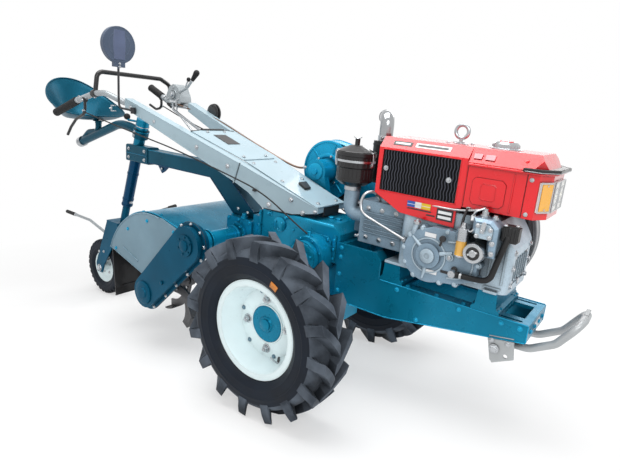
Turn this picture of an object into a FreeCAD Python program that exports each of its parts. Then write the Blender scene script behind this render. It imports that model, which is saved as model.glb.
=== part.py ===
"""Two-wheel walking tractor with a rotary tiller, a riding seat and a tail wheel.

Every piece is drawn in the machine's own frame, in millimetres: +X forward, +Y left, +Z up, with
the machine level and the origin on the ground under the middle of the main axle. All pieces then
take one common Placement, because the machine parks nose down on its lowered tail wheel.
"""
import FreeCAD, Part

import math
import os
import re

import Sketcher

V = FreeCAD.Vector
Turn = FreeCAD.Rotation

SIZES = {
    # fits
    "seat_gap": (0.3, "gap between pieces of different bodies that seat on each other"),
    "sheet": (3, "thickness of pressed sheet covers"),
    "plate": (8, "thickness of welded plates"),
    # main wheels
    "wheel_radius": (320, "tyre radius over the lugs"),
    "wheel_track": (800, "distance between the tyre centre planes"),
    "tyre_width": (162, "section width of a main tyre"),
    "tread_width": (148, "width of the flat of the tread"),
    "shoulder_drop": (30, "how far a main tyre's shoulder lies below its tread"),
    "bead_radius": (158, "inner radius of a main tyre"),
    "rim_flange": (176, "radius over the rim flange"),
    "rim_width": (110, "width over the rim flanges"),
    "dish_depth": (74, "how far the wheel disc lies inside the outer flange"),
    "dish_skin": (6, "thickness of a wheel's disc and hub flange"),
    "hub_radius": (67, "radius of the hub flange"),
    "hub_bore": (36, "radius of the disc's bore over the hub's sleeve"),
    "axle_radius": (19, "radius of the axle shafts"),
    # gearbox
    "box_rear": (-310, "rear face of the gearbox"),
    "box_front": (92, "front face of the gearbox, where the frame bolts on"),
    "box_top": (648, "top face of the gearbox, which carries the handle"),
    "box_sill": (500, "underside of the gearbox's rear half"),
    "box_width": (220, "width of the upper gearbox"),
    "final_width": (150, "width of the final drive case"),
    "final_length": (190, "length of the final drive case at the axle"),
    "axle_tube": (44, "radius of the axle housings"),
    "axle_flange": (68, "radius of the axle housings' flanges"),
    "axle_tube_end": (246, "distance of the axle housings' ends from the middle"),
    "drum_x": (-8, "place of the steering clutch drum along the machine"),
    "drum_z": (525, "height of the steering clutch drum"),
    "drum_radius": (62, "radius of the steering clutch drums"),
    "drum_reach": (205, "distance of the drums' ends from the middle"),
    "drum_flange": (76, "radius of the drums' flanges"),
    "clutch_x": (-215, "place of the main clutch shaft along the machine"),
    "clutch_z": (795, "height of the main clutch shaft"),
    "clutch_boss": (52, "radius of the main clutch bearing"),
    # engine frame
    "frame_width": (234, "width over the engine frame's rails"),
    "frame_web": (10, "thickness of the rails' webs"),
    "frame_flange": (54, "width of the rails' top flanges"),
    "frame_slot": (12, "width of the slots in the top flanges"),
    "frame_skin": (12, "thickness of the frame's top flanges and end plates"),
    "frame_top": (500, "top face of the engine frame"),
    "frame_head": (592, "top of the frame's rear plate and its side gussets"),
    "frame_front": (778, "front face of the engine frame"),
    "frame_nose": (444, "underside of the frame at the front"),
    "frame_bend": (313, "where the frame's underside starts to rise"),
    "frame_belly": (369, "underside of the frame at the rear"),
    "mount_rear": (318, "place of the rear engine mount"),
    "mount_front": (645, "place of the front engine mount"),
    "mount_half": (29, "half length of an engine mount at its top"),
    "mount_foot": (44, "half length of an engine mount's foot"),
    "mount_base": (12, "thickness of an engine mount's foot"),
    "engine_foot": (8, "thickness of the crankcase's foot flange"),
    "panel_depth": (5, "depth of the crankcase's front panel"),
    "mount_top": (570, "top face of the engine mounts"),
    # engine
    "case_rear": (330, "rear face of the crankcase"),
    "case_front": (698, "front face of the crankcase"),
    "case_top": (790, "top face of the crankcase"),
    "case_right": (120, "right face of the crankcase from the middle"),
    "case_left": (120, "left face of the crankcase from the middle"),
    "case_bevel": (26, "bevel of the crankcase's edges"),
    "cover_depth": (34, "depth of the gear cover"),
    "cover_front": (612, "front edge of the gear cover"),
    "cover_low": (566, "lower edge of the gear cover"),
    "cover_high": (738, "upper edge of the gear cover"),
    "cover_lobe": (88, "radius of the gear cover's round rear end"),
    "cover_bolt": (11, "radius of the gear cover's bolt bosses"),
    "cam_boss_x": (455, "place of the gear cover's round boss"),
    "cam_boss_z": (644, "height of the gear cover's round boss"),
    "pump_rear": (586, "rear face of the injection pump housing"),
    "pump_front": (660, "front face of the injection pump housing"),
    "pump_low": (690, "underside of the injection pump housing"),
    "pump_high": (800, "top of the injection pump housing"),
    "pump_reach": (188, "outer face of the injection pump housing from the middle"),
    "start_x": (606, "place of the starting shaft"),
    "start_z": (698, "height of the starting shaft"),
    "start_radius": (29, "radius of the starting shaft's sleeve"),
    "filter_x": (560, "place of the fuel filter"),
    "filter_z": (668, "underside of the fuel filter's bowl"),
    "filter_radius": (15, "radius of the fuel filter's bowl"),
    "hose_radius": (9, "radius of the breather hose"),
    "crank_x": (480, "place of the crankshaft along the machine"),
    "crank_z": (690, "height of the crankshaft"),
    "head_rear": (150, "rear face of the cylinder head"),
    "head_low": (606, "underside of the cylinder head"),
    "head_high": (762, "top of the cylinder head"),
    "head_half": (80, "half width of the cylinder head"),
    "rocker_rear": (96, "rear face of the rocker cover"),
    "flywheel_radius": (222, "radius of the flywheel"),
    "flywheel_clear": (24.5, "room between the hood's side and the flywheel"),
    "flywheel_depth": (56, "depth of the flywheel's rim"),
    "pulley_radius": (88, "radius of the flywheel's belt pulley"),
    "pulley_depth": (56, "how far the belt pulley stands out of the flywheel"),
    "belt_thick": (11, "thickness of the drive belts"),
    "guard_clear": (8, "room between the flywheel's rim and the belt guard"),
    "guard_depth": (70, "depth of the belt guard"),
    "guard_rear": (133, "radius of the belt guard's rear end"),
    "guard_front": (116, "radius of the belt guard's front end"),
    # hood and tank
    "hood_rear": (221, "rear face of the hood"),
    "hood_front": (524, "front face of the hood"),
    "hood_width": (251, "width of the hood"),
    "hood_top": (994, "top of the hood"),
    "hood_bevel": (34, "bevel along the hood's top edges"),
    "hood_low": (806, "lower edge of the hood at the rear"),
    "skirt_rear": (322, "rear end of the hood's skirt"),
    "skirt_front": (511, "front end of the hood's skirt"),
    "skirt_low": (742, "lower edge of the hood's skirt"),
    "grille_rear": (236, "rear edge of the cooling opening"),
    "grille_front": (504, "front edge of the cooling opening"),
    "grille_low": (816, "lower edge of the cooling opening"),
    "grille_high": (955, "upper edge of the cooling opening"),
    "tank_front": (698, "front face of the fuel tank"),
    "tank_low": (813, "underside of the fuel tank"),
    "tank_seam": (941, "height of the tank's seam"),
    "seam_lip": (6, "how far the tank's seam stands out"),
    "dome_front": (745, "front edge of the tank's upper half"),
    "cap_x": (591, "place of the fuel cap"),
    "cap_radius": (40, "radius of the fuel cap"),
    "cap_height": (22, "height of the fuel cap"),
    "visor_reach": (16, "how far the visor stands out over the lamps"),
    "visor_thick": (9, "thickness of the visor"),
    "lamp_front": (757, "front face of the lamp housing"),
    "lamp_face": (150, "width of the lamp housing's front face"),
    "lamp_corner": (730, "where the lamp housing's corners are cut"),
    "lens_low": (836, "lower edge of the lamps"),
    "lens_high": (921, "upper edge of the lamps"),
    "lens_depth": (7, "how far the lamps stand out"),
    # breathing
    "cleaner_x": (94, "place of the air cleaner"),
    "cleaner_y": (-62, "sideways place of the air cleaner"),
    "cleaner_radius": (76, "radius of the air cleaner"),
    "cleaner_low": (806, "underside of the air cleaner's bowl"),
    "cleaner_top": (972, "top of the air cleaner's nut"),
    "elbow_radius": (28, "radius of the intake elbow"),
    "muffler_x": (138, "place of the muffler"),
    "muffler_y": (62, "sideways place of the muffler"),
    "muffler_radius": (42, "radius of the muffler"),
    "muffler_top": (966, "top of the muffler"),
    "tailpipe_radius": (26, "radius of the exhaust tailpipe"),
    "tailpipe_top": (1054, "height of the tailpipe's bend"),
    "eye_x": (447, "place of the lifting eye"),
    "eye_radius": (21, "ring radius of the lifting eye"),
    "eye_wire": (6, "wire radius of the lifting eye"),
    # handle
    "arm_spread": (5.9, "angle by which each handle arm spreads, in degrees"),
    "arm_width": (45, "width of a handle arm"),
    "arm_front": (-30, "front end of the handle arms"),
    "arm_front_half": (98, "distance of the arms' outer faces from the middle, at the front"),
    "arm_nose_low": (672, "underside of the handle's nose"),
    "arm_nose_top": (691, "top of the handle's nose"),
    "arm_heel": (-285, "rear end of the handle's foot on the gearbox"),
    "arm_knee": (-431, "where the arms become slim"),
    "arm_knee_low": (728, "underside of the arms at the knee"),
    "arm_knee_top": (817, "top of the arms at the knee"),
    "arm_end": (-1128, "rear end of the handle arms"),
    "arm_end_low": (980, "underside of the arms at their rear end"),
    "arm_end_top": (1027, "top of the arms at their rear end"),
    "lid_rear": (-740, "rear edge of the handle's top cover"),
    "lid_rear_z": (915, "height of the top cover's rear edge"),
    "lid_rear_half": (66, "half width of the top cover's rear edge"),
    "bar_radius": (14, "radius of the handlebar tubes"),
    "grip_radius": (19, "radius of the handle grips"),
    "cross_radius": (11, "radius of the cross bar"),
    "cross_x": (-1331, "place of the cross bar"),
    "cross_z": (1141, "height of the cross bar"),
    "bracket_x": (-1250, "place of the lever bracket"),
    "bracket_z": (1056, "height of the lever bracket"),
    "bracket_radius": (68, "radius of the lever bracket"),
    "horn_x": (-972, "place of the horn"),
    "horn_radius": (50, "radius of the horn"),
    "horn_z": (984, "height of the horn"),
    "console_rod": (7, "radius of the rods from the lever bracket"),
    "steer_lever": (7, "radius of the steering levers"),
    "mirror_x": (-1109, "place of the mirror"),
    "mirror_y": (-250, "sideways place of the mirror"),
    "mirror_z": (1259, "height of the mirror's centre"),
    "mirror_radius": (80, "radius of the mirror"),
    "mirror_rod": (5, "radius of the mirror's rod"),
    "cable_radius": (3, "radius of the control cables"),
    # tiller
    "rotor_x": (-766, "place of the tiller shaft"),
    "rotor_z": (190, "height of the tiller shaft"),
    "blade_reach": (235, "radius over the tiller's blades"),
    "rotor_tube": (24, "radius of the tiller shaft"),
    "cross_tube_x": (-480, "place of the tiller's drive tube"),
    "cross_tube_z": (482, "height of the tiller's drive tube"),
    "cross_tube_radius": (38, "radius of the tiller's drive tube"),
    "tiller_half": (290, "half width of the tiller between its side cases"),
    "chain_depth": (60, "depth of the chain case"),
    "chain_top_radius": (80, "radius of the chain case's upper end"),
    "chain_low_radius": (70, "radius of the chain case's lower end"),
    "chain_flange": (14, "how far the chain case's bolted flange stands out"),
    "drive_box_front": (-398, "front face of the tiller's drive box"),
    "drive_box_rear": (-550, "rear face of the tiller's drive box"),
    "drive_box_top": (560, "top face of the tiller's drive box"),
    "drive_box_low": (424, "underside of the tiller's drive box"),
    "drive_box_width": (130, "width of the tiller's drive box"),
    "arc_x": (-800, "place of the tiller hood's centre"),
    "arc_z": (190, "height of the tiller hood's centre"),
    "hood_radius": (350, "radius of the tiller hood"),
    "flap_length": (262, "length of the rear flap below its hinge"),
    "flap_thick": (4, "thickness of the rear flap"),
    # seat and tail wheel
    "beam_width": (64, "width of the seat beam"),
    "beam_low": (702, "underside of the seat beam"),
    "beam_top": (770, "top of the seat beam"),
    "beam_bend": (-705, "where the seat beam turns down to the tiller"),
    "beam_end": (-1300, "rear end of the seat beam"),
    "column_top_x": (-1285, "place of the tail column's top"),
    "column_top_z": (905, "height of the tail column's top"),
    "column_length": (506, "length of the tail column"),
    "column_lean": (17.6, "angle by which the tail column leans, in degrees"),
    "column_radius": (29, "radius of the tail column"),
    "post_radius": (21, "radius of the tail post inside the column"),
    "tail_x": (-1640, "place of the tail wheel"),
    "tail_z": (0, "height of the tail wheel's centre"),
    "tail_radius": (170, "radius of the tail wheel"),
    "tail_width": (84, "width of the tail tyre"),
    "tail_rim": (92, "radius of the tail wheel's rim"),
    "crank_reach": (147, "reach of the tail column's crank"),
    "crank_knob": (17, "radius of the tail column's crank knob"),
    "seat_tube": (24, "radius of the tube that carries the seat"),
    "hump_x": (-1500, "place of the crown of the seat's tube"),
    "hump_z": (878, "height of the crown of the seat's tube"),
    "arm_tail_x": (-1925, "rear end of the seat's tube"),
    "arm_tail_z": (726, "height of the rear end of the seat's tube"),
    "seat_post": (17, "radius of the seat post"),
    "steer_bar_z": (247, "height of the tail wheel's steering bar over the wheel's centre"),
    "steer_bar_reach": (487, "reach of the steering bar behind the tail wheel's centre"),
    "pan_x": (-1830, "place of the seat pan's centre"),
    "pan_length": (452, "length of the seat pan"),
    "pan_width": (430, "width of the seat pan"),
    "pan_z": (875, "height of the seat pan's hollow"),
    "pan_back": (1108, "height of the seat pan's back"),
    # front stand
    "pivot_x": (696, "place of the stand's pivot"),
    "pivot_z": (401, "height of the stand's pivot"),
    "stand_half": (66, "distance of the stand's legs from the middle"),
    "stand_radius": (12, "radius of the stand's tube"),
    "stand_pin": (8, "radius of the stand's pivot bolt"),
    "lock_x": (731, "place of the bracket's free pin hole"),
    "lock_z": (386, "height of the bracket's free pin hole"),
    "lock_radius": (6.5, "radius of the bracket's free pin hole"),
}

doc = FreeCAD.newDocument("walking_tractor")
sheet = doc.addObject("Spreadsheet::Sheet", "Sizes")
for row, (alias, (value, meaning)) in enumerate(SIZES.items(), start=1):
    sheet.set(f"A{row}", alias)
    sheet.set(f"B{row}", str(value))
    sheet.setAlias(f"B{row}", alias)
    sheet.set(f"C{row}", meaning)
doc.recompute()


def size(alias):
    """A driving dimension, read from the sheet."""
    return float(sheet.get(alias))


def bound(formula):
    """A formula in the sheet's own names, written for the expression engine."""
    names = re.compile(r"[a-z][a-z_]*")
    return names.sub(lambda word: "Sizes." + word.group() if word.group() in SIZES else word.group(), formula)


# ---------------------------------------------------------------- sketches and solid features

def new_body(label):
    """An empty body whose label names its file."""
    body = doc.addObject("PartDesign::Body", label)
    body.Label = label
    return body


def sketch(body, role, lift="0"):
    """A sketch on one of the body's own origin planes, lifted along that plane's normal."""
    plane = next(feature for feature in body.Origin.OriginFeatures if feature.Role == role)
    drawing = body.newObject("Sketcher::SketchObject", body.Name + "_sketch")
    drawing.AttachmentSupport = (plane, [""])
    drawing.MapMode = "FlatFace"
    drawing.setExpression("AttachmentOffset.Base.z", bound(lift))
    return drawing


def outline(drawing, corners):
    """A closed outline of straight lines whose corners are bound to the sheet."""
    first = drawing.GeometryCount
    count = len(corners)
    ring = [V(100 * math.cos(2 * math.pi * i / count), 100 * math.sin(2 * math.pi * i / count), 0)
            for i in range(count)]
    for i in range(count):
        drawing.addGeometry(Part.LineSegment(ring[i], ring[(i + 1) % count]), False)
    for i, (across, up) in enumerate(corners):
        line = first + i
        drawing.addConstraint(Sketcher.Constraint("Coincident", line, 2, first + (i + 1) % count, 1))
        for kind, formula in (("DistanceX", across), ("DistanceY", up)):
            index = drawing.addConstraint(Sketcher.Constraint(kind, line, 1, 100.0))
            drawing.setExpression(f"Constraints[{index}]", bound(formula))


def rectangle(drawing, left, right, low, high):
    outline(drawing, [(left, low), (right, low), (right, high), (left, high)])


def circle(drawing, across, up, radius):
    """A circle whose centre and radius are bound to the sheet."""
    ring = drawing.addGeometry(Part.Circle(V(10, 10, 0), V(0, 0, 1), 5), False)
    for kind, formula in (("DistanceX", across), ("DistanceY", up)):
        index = drawing.addConstraint(Sketcher.Constraint(kind, ring, 3, 10.0))
        drawing.setExpression(f"Constraints[{index}]", bound(formula))
    index = drawing.addConstraint(Sketcher.Constraint("Radius", ring, 5.0))
    drawing.setExpression(f"Constraints[{index}]", bound(radius))


def feature(body, kind, drawing, length="", symmetric=False, reverse=False):
    """A Pad or Pocket of the drawing."""
    step = body.newObject("PartDesign::" + kind, body.Name + "_" + kind.lower())
    step.Profile = drawing
    step.setExpression("Length", bound(length))
    step.SideType = "Symmetric" if symmetric else "One side"
    step.Reversed = reverse
    return step


def revolve(body, drawing, axis="H_Axis"):
    """A full turn of the drawing about one of its own axes."""
    step = body.newObject("PartDesign::Revolution", body.Name + "_revolution")
    step.Profile = drawing
    step.ReferenceAxis = (drawing, [axis])
    step.Angle = 360
    return step


def dress(body, kind, base, amount, pick):
    """A Fillet or Chamfer on those edges of the base feature that pick accepts."""
    doc.recompute()
    edges = [f"Edge{i}" for i, edge in enumerate(base.Shape.Edges, start=1) if pick(edge)]
    step = body.newObject("PartDesign::" + kind, body.Name + "_" + kind.lower())
    step.Base = (base, edges)
    step.setExpression("Radius" if kind == "Fillet" else "Size", bound(amount))
    return step


def runs_along(direction):
    """Picks the straight edges that run along a direction."""
    def pick(edge):
        return isinstance(edge.Curve, Part.Line) and abs(edge.Curve.Direction.dot(direction)) > 0.999
    return pick


# ---------------------------------------------------------------- primitives and booleans

AXIS_TURN = {"X": Turn(V(0, 1, 0), 90), "Y": Turn(V(1, 0, 0), -90), "Z": Turn()}


def put(item, place):
    for letter, formula in zip("xyz", place):
        item.setExpression(f"Placement.Base.{letter}", bound(formula))


def block(name, low, extent):
    """A box from its low corner, with sizes bound to the sheet."""
    item = doc.addObject("Part::Box", name)
    for prop, formula in zip(("Length", "Width", "Height"), extent):
        item.setExpression(prop, bound(formula))
    put(item, low)
    return item


def rod(name, start, radius, length, axis="Z"):
    """A cylinder that starts at a point and runs along +X, +Y or +Z."""
    item = doc.addObject("Part::Cylinder", name)
    item.setExpression("Radius", bound(radius))
    item.setExpression("Height", bound(length))
    item.Placement = FreeCAD.Placement(V(), AXIS_TURN[axis])
    put(item, start)
    return item


def cone(name, start, radius, far_radius, length, axis="Z"):
    item = doc.addObject("Part::Cone", name)
    item.setExpression("Radius1", bound(radius))
    item.setExpression("Radius2", bound(far_radius))
    item.setExpression("Height", bound(length))
    item.Placement = FreeCAD.Placement(V(), AXIS_TURN[axis])
    put(item, start)
    return item


def ring(name, centre, radius, wire, axis="Z"):
    item = doc.addObject("Part::Torus", name)
    item.setExpression("Radius1", bound(radius))
    item.setExpression("Radius2", bound(wire))
    item.Placement = FreeCAD.Placement(V(), AXIS_TURN[axis])
    put(item, centre)
    return item


def fuse(label, items):
    item = doc.addObject("Part::MultiFuse", label)
    item.Shapes = items
    item.Refine = True
    item.Label = label
    return item


def cut(label, base, tools):
    item = doc.addObject("Part::Cut", label)
    item.Base = base
    item.Tool = tools[0] if len(tools) == 1 else fuse(label + "_tools", tools)
    item.Refine = True
    item.Label = label
    return item


def solid(label, shape):
    """A shape that no sketch or primitive fits, such as a bent tube or a pressed pan."""
    item = doc.addObject("Part::Feature", label)
    item.Label = label
    item.Shape = shape
    return item


# ---------------------------------------------------------------- bent tubes and hulls

def bent_path(points, bend=None):
    """Straight runs joined by tangent arcs: one radius, or as large as two runs allow."""
    points = [V(*point) for point in points]
    edges = []
    start = points[0]
    for before, corner, after in zip(points, points[1:], points[2:]):
        arriving = (corner - before).normalize()
        leaving = (after - corner).normalize()
        half_turn = arriving.getAngle(leaving) / 2
        room = 0.45 * min((corner - before).Length, (after - corner).Length)
        setback = room if bend is None else min(room, bend * math.tan(half_turn))
        radius = setback / math.tan(half_turn)
        enter = corner - arriving * setback
        leave = corner + leaving * setback
        inward = (leaving - arriving).normalize()
        middle = corner + inward * (radius / math.cos(half_turn) - radius)
        edges.append(Part.LineSegment(start, enter).toShape())
        edges.append(Part.Arc(enter, middle, leave).toShape())
        start = leave
    edges.append(Part.LineSegment(start, points[-1]).toShape())
    return Part.Wire(edges)


def tube(points, radius, bend=None):
    """A round bar along a bent path."""
    path = bent_path(points, bend)
    start = path.Edges[0]
    section = Part.Wire(Part.makeCircle(radius, start.valueAt(start.FirstParameter),
                                        start.tangentAt(start.FirstParameter)))
    bar = path.makePipeShell([section], True, False)
    wanted = math.pi * radius ** 2 * path.Length
    if abs(bar.Volume / wanted - 1) > 0.02:
        raise ValueError(f"bent tube of {bar.Volume:.0f} mm3 instead of {wanted:.0f} mm3")
    return bar


def belt_wire(first, first_radius, second, second_radius, level):
    """Two circles in a plane across Y, wrapped by their outer tangents."""
    first = V(first[0], level, first[1])
    second = V(second[0], level, second[1])
    along = second - first
    lean = math.acos((first_radius - second_radius) / along.Length)
    heading = math.atan2(along.z, along.x)

    def on(centre, radius, angle):
        return centre + V(radius * math.cos(angle), 0, radius * math.sin(angle))

    upper = heading + lean
    lower = heading - lean
    corners = [on(first, first_radius, upper), on(second, second_radius, upper),
               on(second, second_radius, lower), on(first, first_radius, lower)]
    return Part.Wire([
        Part.LineSegment(corners[0], corners[1]).toShape(),
        Part.Arc(corners[1], on(second, second_radius, heading), corners[2]).toShape(),
        Part.LineSegment(corners[2], corners[3]).toShape(),
        Part.Arc(corners[3], on(first, first_radius, heading + math.pi), corners[0]).toShape(),
    ])


def belt_solid(first, first_radius, second, second_radius, low, high):
    """The wrapped outline of two circles, from one level across the machine to another."""
    wire = belt_wire(first, first_radius, second, second_radius, low)
    return Part.Face(wire).extrude(V(0, high - low, 0))


def side_plate(corners, low, high):
    """A flat plate across Y with the given side outline."""
    points = [V(x, low, z) for x, z in corners]
    return Part.Face(Part.makePolygon(points + points[:1])).extrude(V(0, high - low, 0))


nodes = {}


def keep(item, local=None):
    """Lists a finished piece, with its own place in the machine's frame."""
    nodes[item.Label] = (item, local or FreeCAD.Placement())
    return item


def at(x, y, z, turn=None):
    return FreeCAD.Placement(V(x, y, z), turn or Turn())


# ---------------------------------------------------------------- engine frame and its mounts

def engine_frame():
    """Two channel rails under the engine, with gussets up to the gearbox and open windows between."""
    body = new_body("engine_frame")
    side = sketch(body, "XZ_Plane")
    outline(side, [("box_front + seat_gap", "frame_belly"), ("frame_bend", "frame_belly"),
                   ("frame_front", "frame_nose"), ("frame_front", "frame_top"),
                   ("mount_rear - mount_foot - seat_gap", "frame_top"),
                   ("mount_rear - mount_foot - seat_gap", "frame_head - 2 * frame_skin"),
                   ("mount_rear - mount_foot - 2 * frame_skin", "frame_head"),
                   ("box_front + seat_gap", "frame_head")])
    feature(body, "Pad", side, "frame_width", symmetric=True)
    channel = sketch(body, "XY_Plane")
    rectangle(channel, "box_front + 2 * frame_skin", "frame_front - frame_skin",
              "frame_web - frame_width / 2", "frame_width / 2 - frame_web")
    feature(body, "Pocket", channel, "frame_top - frame_skin", reverse=True)
    between_gussets = sketch(body, "XY_Plane")
    rectangle(between_gussets, "box_front + 2 * frame_skin", "mount_rear - mount_foot - 3 * frame_skin",
              "frame_web - frame_width / 2", "frame_width / 2 - frame_web")
    above_mount = "mount_rear - mount_foot + frame_skin"
    rectangle(between_gussets, "mount_rear - mount_foot - 3 * frame_skin + seat_gap", above_mount,
              "frame_flange - frame_width / 2", "frame_width / 2 - frame_flange")
    feature(body, "Pocket", between_gussets, "frame_head + frame_skin", reverse=True)
    windows = sketch(body, "XY_Plane")
    for rear, front in (("mount_rear + mount_foot + frame_skin", "mount_front - mount_foot - frame_skin"),
                        ("mount_front + mount_foot + 3 * seat_gap", "frame_front - 2 * frame_skin")):
        rectangle(windows, rear, front, "frame_flange - frame_width / 2", "frame_width / 2 - frame_flange")
    slots = sketch(body, "XY_Plane")
    for low in ("frame_web + frame_slot / 2 - frame_width / 2",
                "frame_width / 2 - frame_web - 1.5 * frame_slot"):
        rectangle(slots, "mount_front + mount_foot + 3 * seat_gap", "frame_front - 2 * frame_skin",
                  low, low + " + frame_slot")
    for holes in (windows, slots):
        feature(body, "Pocket", holes, "frame_head + frame_skin", reverse=True)
    keep(body)


def engine_mounts():
    """Two cross bars on the rails, each on a wider foot, which carry the crankcase."""
    bars = []
    for end in ("mount_rear", "mount_front"):
        body = new_body(end)
        side = sketch(body, "XZ_Plane")
        outline(side, [(end + " - mount_foot", "frame_top"), (end + " + mount_foot", "frame_top"),
                       (end + " + mount_foot", "frame_top + mount_base"),
                       (end + " + mount_half + 4", "frame_top + 1.6 * mount_base"),
                       (end + " + mount_half", "mount_top"), (end + " - mount_half", "mount_top"),
                       (end + " - mount_half - 4", "frame_top + 1.6 * mount_base"),
                       (end + " - mount_foot", "frame_top + mount_base")])
        feature(body, "Pad", side, "frame_width", symmetric=True)
        bars.append(body)
    keep(fuse("engine_mounts", bars))


# ---------------------------------------------------------------- engine

def crankcase():
    """The horizontal engine's block on its foot flange, with a panel in its front face."""
    body = new_body("crankcase")
    side = sketch(body, "XZ_Plane", "-case_left")
    outline(side, [("case_rear", "mount_top"), ("case_front", "mount_top"),
                   ("case_front", "case_top - 3 * case_bevel"), ("case_front - 2 * case_bevel", "case_top"),
                   ("case_rear", "case_top")])
    block_pad = feature(body, "Pad", side, "case_left + case_right")
    dress(body, "Fillet", block_pad, "case_bevel",
          lambda edge: runs_along(V(0, 0, 1))(edge) and edge.Length > 100)
    foot = sketch(body, "XY_Plane", "mount_top")
    rear, front = "mount_rear - mount_half", "mount_front + mount_half"
    before_cover = "cover_front + 2 * cover_bolt"
    outline(foot, [(rear, "-case_right"), (before_cover, "-case_right"),
                   (before_cover, "-case_right - mount_base"), (front, "-case_right - mount_base"),
                   (front, "case_left"), (rear, "case_left")])
    feature(body, "Pad", foot, "engine_foot")
    panel = sketch(body, "YZ_Plane", "case_front")
    rectangle(panel, "-0.62 * case_right", "0.62 * case_left", "mount_top + 3 * engine_foot",
              "case_top - 4 * case_bevel")
    feature(body, "Pocket", panel, "panel_depth")
    keep(body)


def gear_cover():
    """The timing gear cover on the engine's right side, with its bosses and the starting shaft's sleeve."""
    body = new_body("gear_cover")
    face = sketch(body, "XZ_Plane", "case_right")
    outline(face, [("cam_boss_x - 0.7 * cover_lobe", "cam_boss_z + 0.7 * cover_lobe"),
                   ("cam_boss_x", "cover_high"), ("cam_boss_x + 74", "cover_high"),
                   ("cover_front", "start_z + 4"), ("cover_front", "cover_low + 34"),
                   ("cam_boss_x + 91", "cover_low + 6"), ("cam_boss_x + 43", "cover_low"),
                   ("cam_boss_x - 25", "cover_low")])
    base = feature(body, "Pad", face, "cover_depth")
    dress(body, "Fillet", base, "14", runs_along(V(0, 1, 0)))
    for across, up, radius, length in (("cam_boss_x", "cam_boss_z", "cover_lobe", "cover_depth"),
                                       ("cam_boss_x", "cam_boss_z", "40", "cover_depth + 10"),
                                       ("start_x", "start_z", "start_radius", "cover_depth + 50")):
        boss = sketch(body, "XZ_Plane", "case_right")
        circle(boss, across, up, radius)
        feature(body, "Pad", boss, length)
    bolts = sketch(body, "XZ_Plane", "case_right")
    round_end = []
    for angle in (112, 144, 176, 208, 240):
        across, up = math.cos(math.radians(angle)), math.sin(math.radians(angle))
        round_end.append((f"cam_boss_x + {across:.4f} * cover_lobe", f"cam_boss_z + {up:.4f} * cover_lobe"))
    front_end = [("cam_boss_x + 46", "cover_low"), ("cam_boss_x + 96", "cover_low + 8"),
                 ("cover_front", "cover_low + 38"), ("cover_front", "cover_low + 84"),
                 ("cam_boss_x + 100", "cover_high - 8"), ("cam_boss_x + 50", "cover_high - 8")]
    for across, up in round_end + front_end:
        circle(bolts, across, up, "cover_bolt")
    feature(body, "Pad", bolts, "cover_depth - 6")
    keep(body)


def pump_housing():
    """Injection pump housing in front of the gear cover, clear of the starting shaft's sleeve."""
    body = new_body("pump_housing")
    face = sketch(body, "XZ_Plane", "case_right + seat_gap")
    above_cover, before_cover = "cover_high + cover_bolt + 2", "cover_front + 2 * cover_bolt"
    outline(face, [("pump_rear", above_cover), (before_cover, above_cover), (before_cover, "start_z + 12"),
                   ("start_x + start_radius + 4", "start_z"), ("start_x + start_radius + 4", "pump_low"),
                   ("pump_front", "pump_low"), ("pump_front", "pump_high - 20"),
                   ("pump_front - 20", "pump_high"), ("pump_rear", "pump_high")])
    base = feature(body, "Pad", face, "pump_reach - case_right - seat_gap")
    dress(body, "Chamfer", base, "9",
          lambda edge: abs(edge.CenterOfMass.y + size("pump_reach")) < 0.1)
    keep(body)


def fuel_filter():
    """Fuel filter on the crankcase's side: a bracket with a round head over a bowl."""
    reach = "cover_depth + 24"
    level = f"-case_right - ({reach})"
    arm = block("filter_arm", ("filter_x - filter_radius", level, "filter_z + 78"),
                ("2 * filter_radius", f"{reach} - seat_gap", "16"))
    head = rod("filter_head", ("filter_x", level, "filter_z + 60"), "filter_radius + 4", "34")
    bowl = rod("filter_bowl", ("filter_x", level, "filter_z + 10"), "filter_radius", "52")
    drain = cone("filter_drain", ("filter_x", level, "filter_z"), "6", "filter_radius", "11")
    keep(fuse("fuel_filter", [arm, head, bowl, drain]))


def side_hose():
    """Rubber breather hose from the crankcase's shoulder down to the gear cover."""
    radius, gap = size("hose_radius"), size("seat_gap")
    wall = -size("case_right") - gap
    cover = wall - size("cover_depth")
    front, high = size("pump_front") + radius + 6, size("pump_high") - 30
    low, rear = size("cover_low") + 46, size("cam_boss_x") + 97
    path = [(front + 12, wall, high), (front + 12, cover, high), (front, cover - 4, high - 52),
            (front - 12, cover - 4, high - 108), (front - 18, cover - radius - 6, low + 6),
            (front - 70, cover - radius - 7, low), (rear, cover - radius - 7, low)]
    depth = 2 * radius + 10
    fitting = Part.makeCylinder(radius + 3, depth, V(rear - 6, cover - depth, low), V(0, 1, 0))
    keep(solid("side_hose", tube(path, radius, 24).fuse(fitting)))


def cylinder_head():
    """Cylinder head, rocker cover and the elbow that leads up to the air cleaner."""
    head = block("head_casting", ("head_rear", "-head_half", "head_low"),
                 ("case_rear - head_rear", "2 * head_half", "head_high - head_low"))
    rocker = block("rocker_cover", ("rocker_rear", "-0.3 * head_half", "head_low + 20"),
                   ("head_rear - rocker_rear", "1.2 * head_half", "head_high - head_low - 40"))
    reach = size("head_rear") + 12
    elbow = solid("intake_elbow_tube", tube(
        [(size("cleaner_x"), size("cleaner_y"), size("cleaner_low") - size("seat_gap")),
         (size("cleaner_x"), size("cleaner_y"), size("head_high") - 60),
         (reach, size("cleaner_y") + 12, size("head_high") - 64)], size("elbow_radius"), 30))
    keep(fuse("cylinder_head", [head, rocker, elbow]))


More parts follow.
